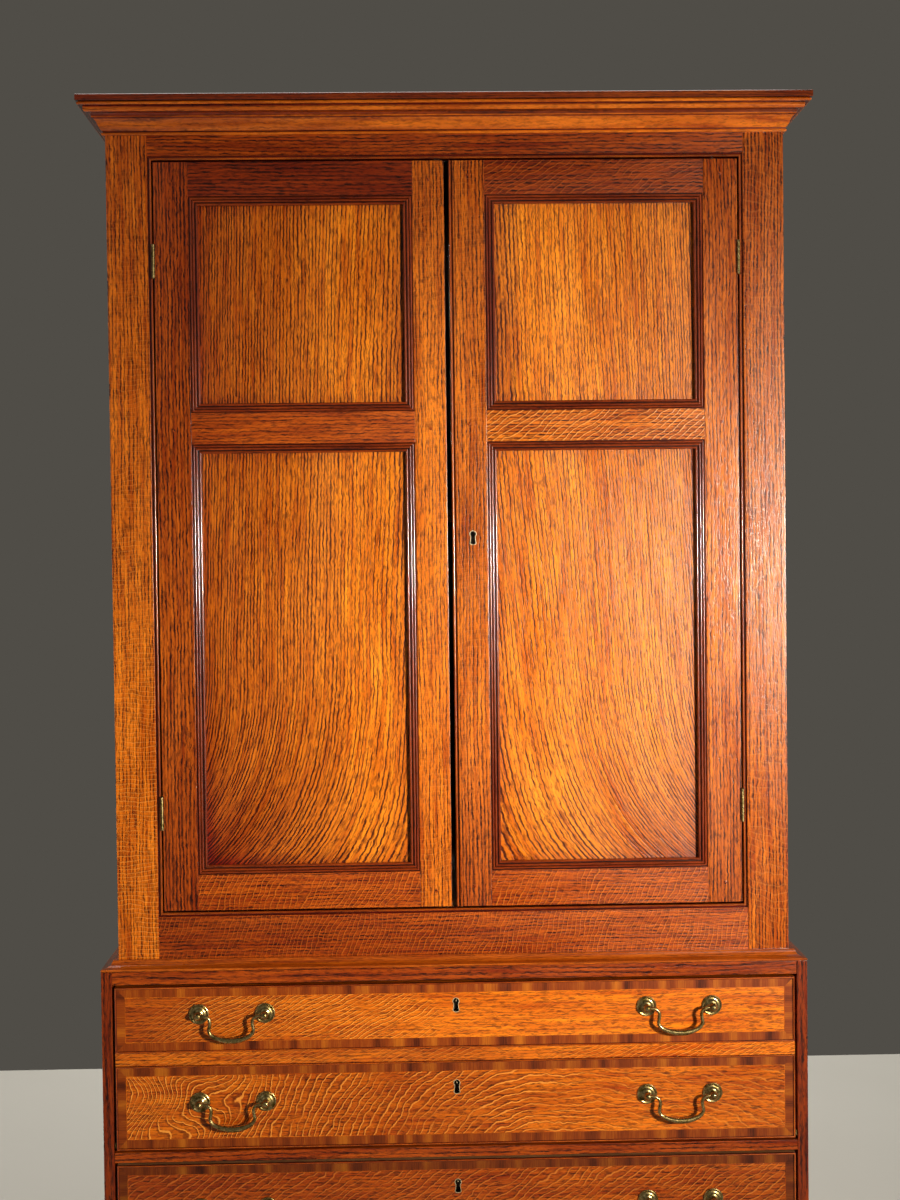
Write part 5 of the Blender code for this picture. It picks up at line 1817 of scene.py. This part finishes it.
@dataclass
class Studio:
    """Pale floor, plain backdrop colour, soft lamps and the camera."""

    floor_colours: tuple[str, str] = ("#c4c0b5", "#c9c5ba")
    floor_size: tuple[float, float] = (14.0, 8.4)
    floor_middle: float = -2.2
    mottle: float = 333.333
    back_colour: str = "#504d47"
    dim_colour: str = "#e2e0dc"
    dim_strength: float = 0.03
    camera_place: tuple[float, float, float] = (-0.064, -2.8617, 1.3846)
    camera_turn: tuple[float, float, float] = (88.512, 0.678, -1.383)
    lens: float = 54.0
    # A small warm key that shines in the right-hand stiles, and washes that show every other side
    lamps: tuple[Lamp, ...] = (
        Lamp("key", (1.75, -2.85, 1.38), (0.05, -0.23, 1.12), 0.24, 13.6, "#fff3e2", 56.0),
        Lamp("fill", (-2.6, -3.4, 2.4), (0.0, 0.0, 1.0), 2.4, 5.0),
        Lamp("left wash", (-3.4, 1.0, 1.9), (-0.5, 0.1, 1.0), 2.0, 40.0),
        Lamp("right wash", (3.4, 1.0, 1.9), (0.5, 0.1, 1.0), 2.0, 40.0),
        Lamp("top wash", (0.0, 0.9, 5.2), (0.0, 0.1, 2.0), 2.4, 70.0),
        Lamp("rear wash", (0.0, 4.2, 2.2), (0.0, 0.3, 1.0), 0.8, 90.0),
    )

    def build(self) -> None:
        """Set the floor, the lamps, the world and the camera."""
        self.build_floor()
        for lamp in self.lamps:
            lamp.build()
        self.build_world()
        bpy.ops.object.camera_add(location=self.camera_place, rotation=[math.radians(a) for a in self.camera_turn])
        camera = bpy.context.object
        camera.data.lens = self.lens
        bpy.context.scene.camera = camera
        bpy.context.scene.view_settings.view_transform = "Standard"

    def build_floor(self) -> None:
        """Model the floor as a broad plane with a faint mottle."""
        only()
        bpy.ops.mesh.primitive_plane_add(size=1, location=(0, self.floor_middle, 0))
        bpy.context.object.scale = (*self.floor_size, 1)
        floor = settle("studio_floor")
        # Matt pale stone grey, barely uneven, so that it takes soft shadows and draws no eye.
        material, tree = fresh("matt studio floor")
        place = add(tree, "ShaderNodeTexCoord").outputs["Object"]
        mottle = add(tree, "ShaderNodeTexNoise", {"Vector": place, "Scale": 1 / (self.mottle * MM),
                                                  "Detail": 3.0}).outputs["Fac"]
        dark, pale = (linear(colour) for colour in self.floor_colours)
        colour = add(tree, "ShaderNodeMix", {0: mottle, 6: dark, 7: pale}, data_type="RGBA").outputs[2]
        shader = add(tree, "ShaderNodeBsdfPrincipled", {"Base Color": colour, "Roughness": 0.85})
        add(tree, "ShaderNodeOutputMaterial", {"Surface": shader.outputs[0]})
        floor.data.materials.append(material)

    def build_world(self) -> None:
        """Light the scene dimly from all round, and show the plain backdrop to the eye and in reflections."""
        world = bpy.data.worlds.new("studio")
        bpy.context.scene.world = world
        world.use_nodes = True
        tree = world.node_tree
        tree.nodes.clear()
        rays = add(tree, "ShaderNodeLightPath").outputs
        seen = rays["Is Camera Ray"]
        for kind in ("Is Transmission Ray", "Is Glossy Ray"):
            seen = add(tree, "ShaderNodeMath", {0: seen, 1: rays[kind]}, operation="MAXIMUM").outputs[0]
        dim = add(tree, "ShaderNodeBackground", {"Color": linear(self.dim_colour), "Strength": self.dim_strength})
        back = add(tree, "ShaderNodeBackground", {"Color": linear(self.back_colour), "Strength": 1.0})
        both = add(tree, "ShaderNodeMixShader", {0: seen, 1: dim.outputs[0], 2: back.outputs[0]})
        add(tree, "ShaderNodeOutputWorld", {"Surface": both.outputs[0]})


def main() -> None:
    """Build the press in order, then the studio."""
    logging.basicConfig(level=logging.INFO, format="%(name)s %(message)s")
    assemblies: list[Assembly] = [
        UpperCase(),
        Door(side=Side.LEFT),
        Door(side=Side.RIGHT, meeting_stile=52.0),
        LowerCase(),
        WritingDrawer(),
        LongDrawer(row="upper"),
        LongDrawer(row="lower", face=(149.8, 325.8), key=287.8, tone=-0.4, slope=-28.0),
        Handles(),
        Fittings(),
    ]
    for assembly in assemblies:
        assembly.build()
        assembly.dress()
    Studio().build()


if __name__ == "__main__":
    main()
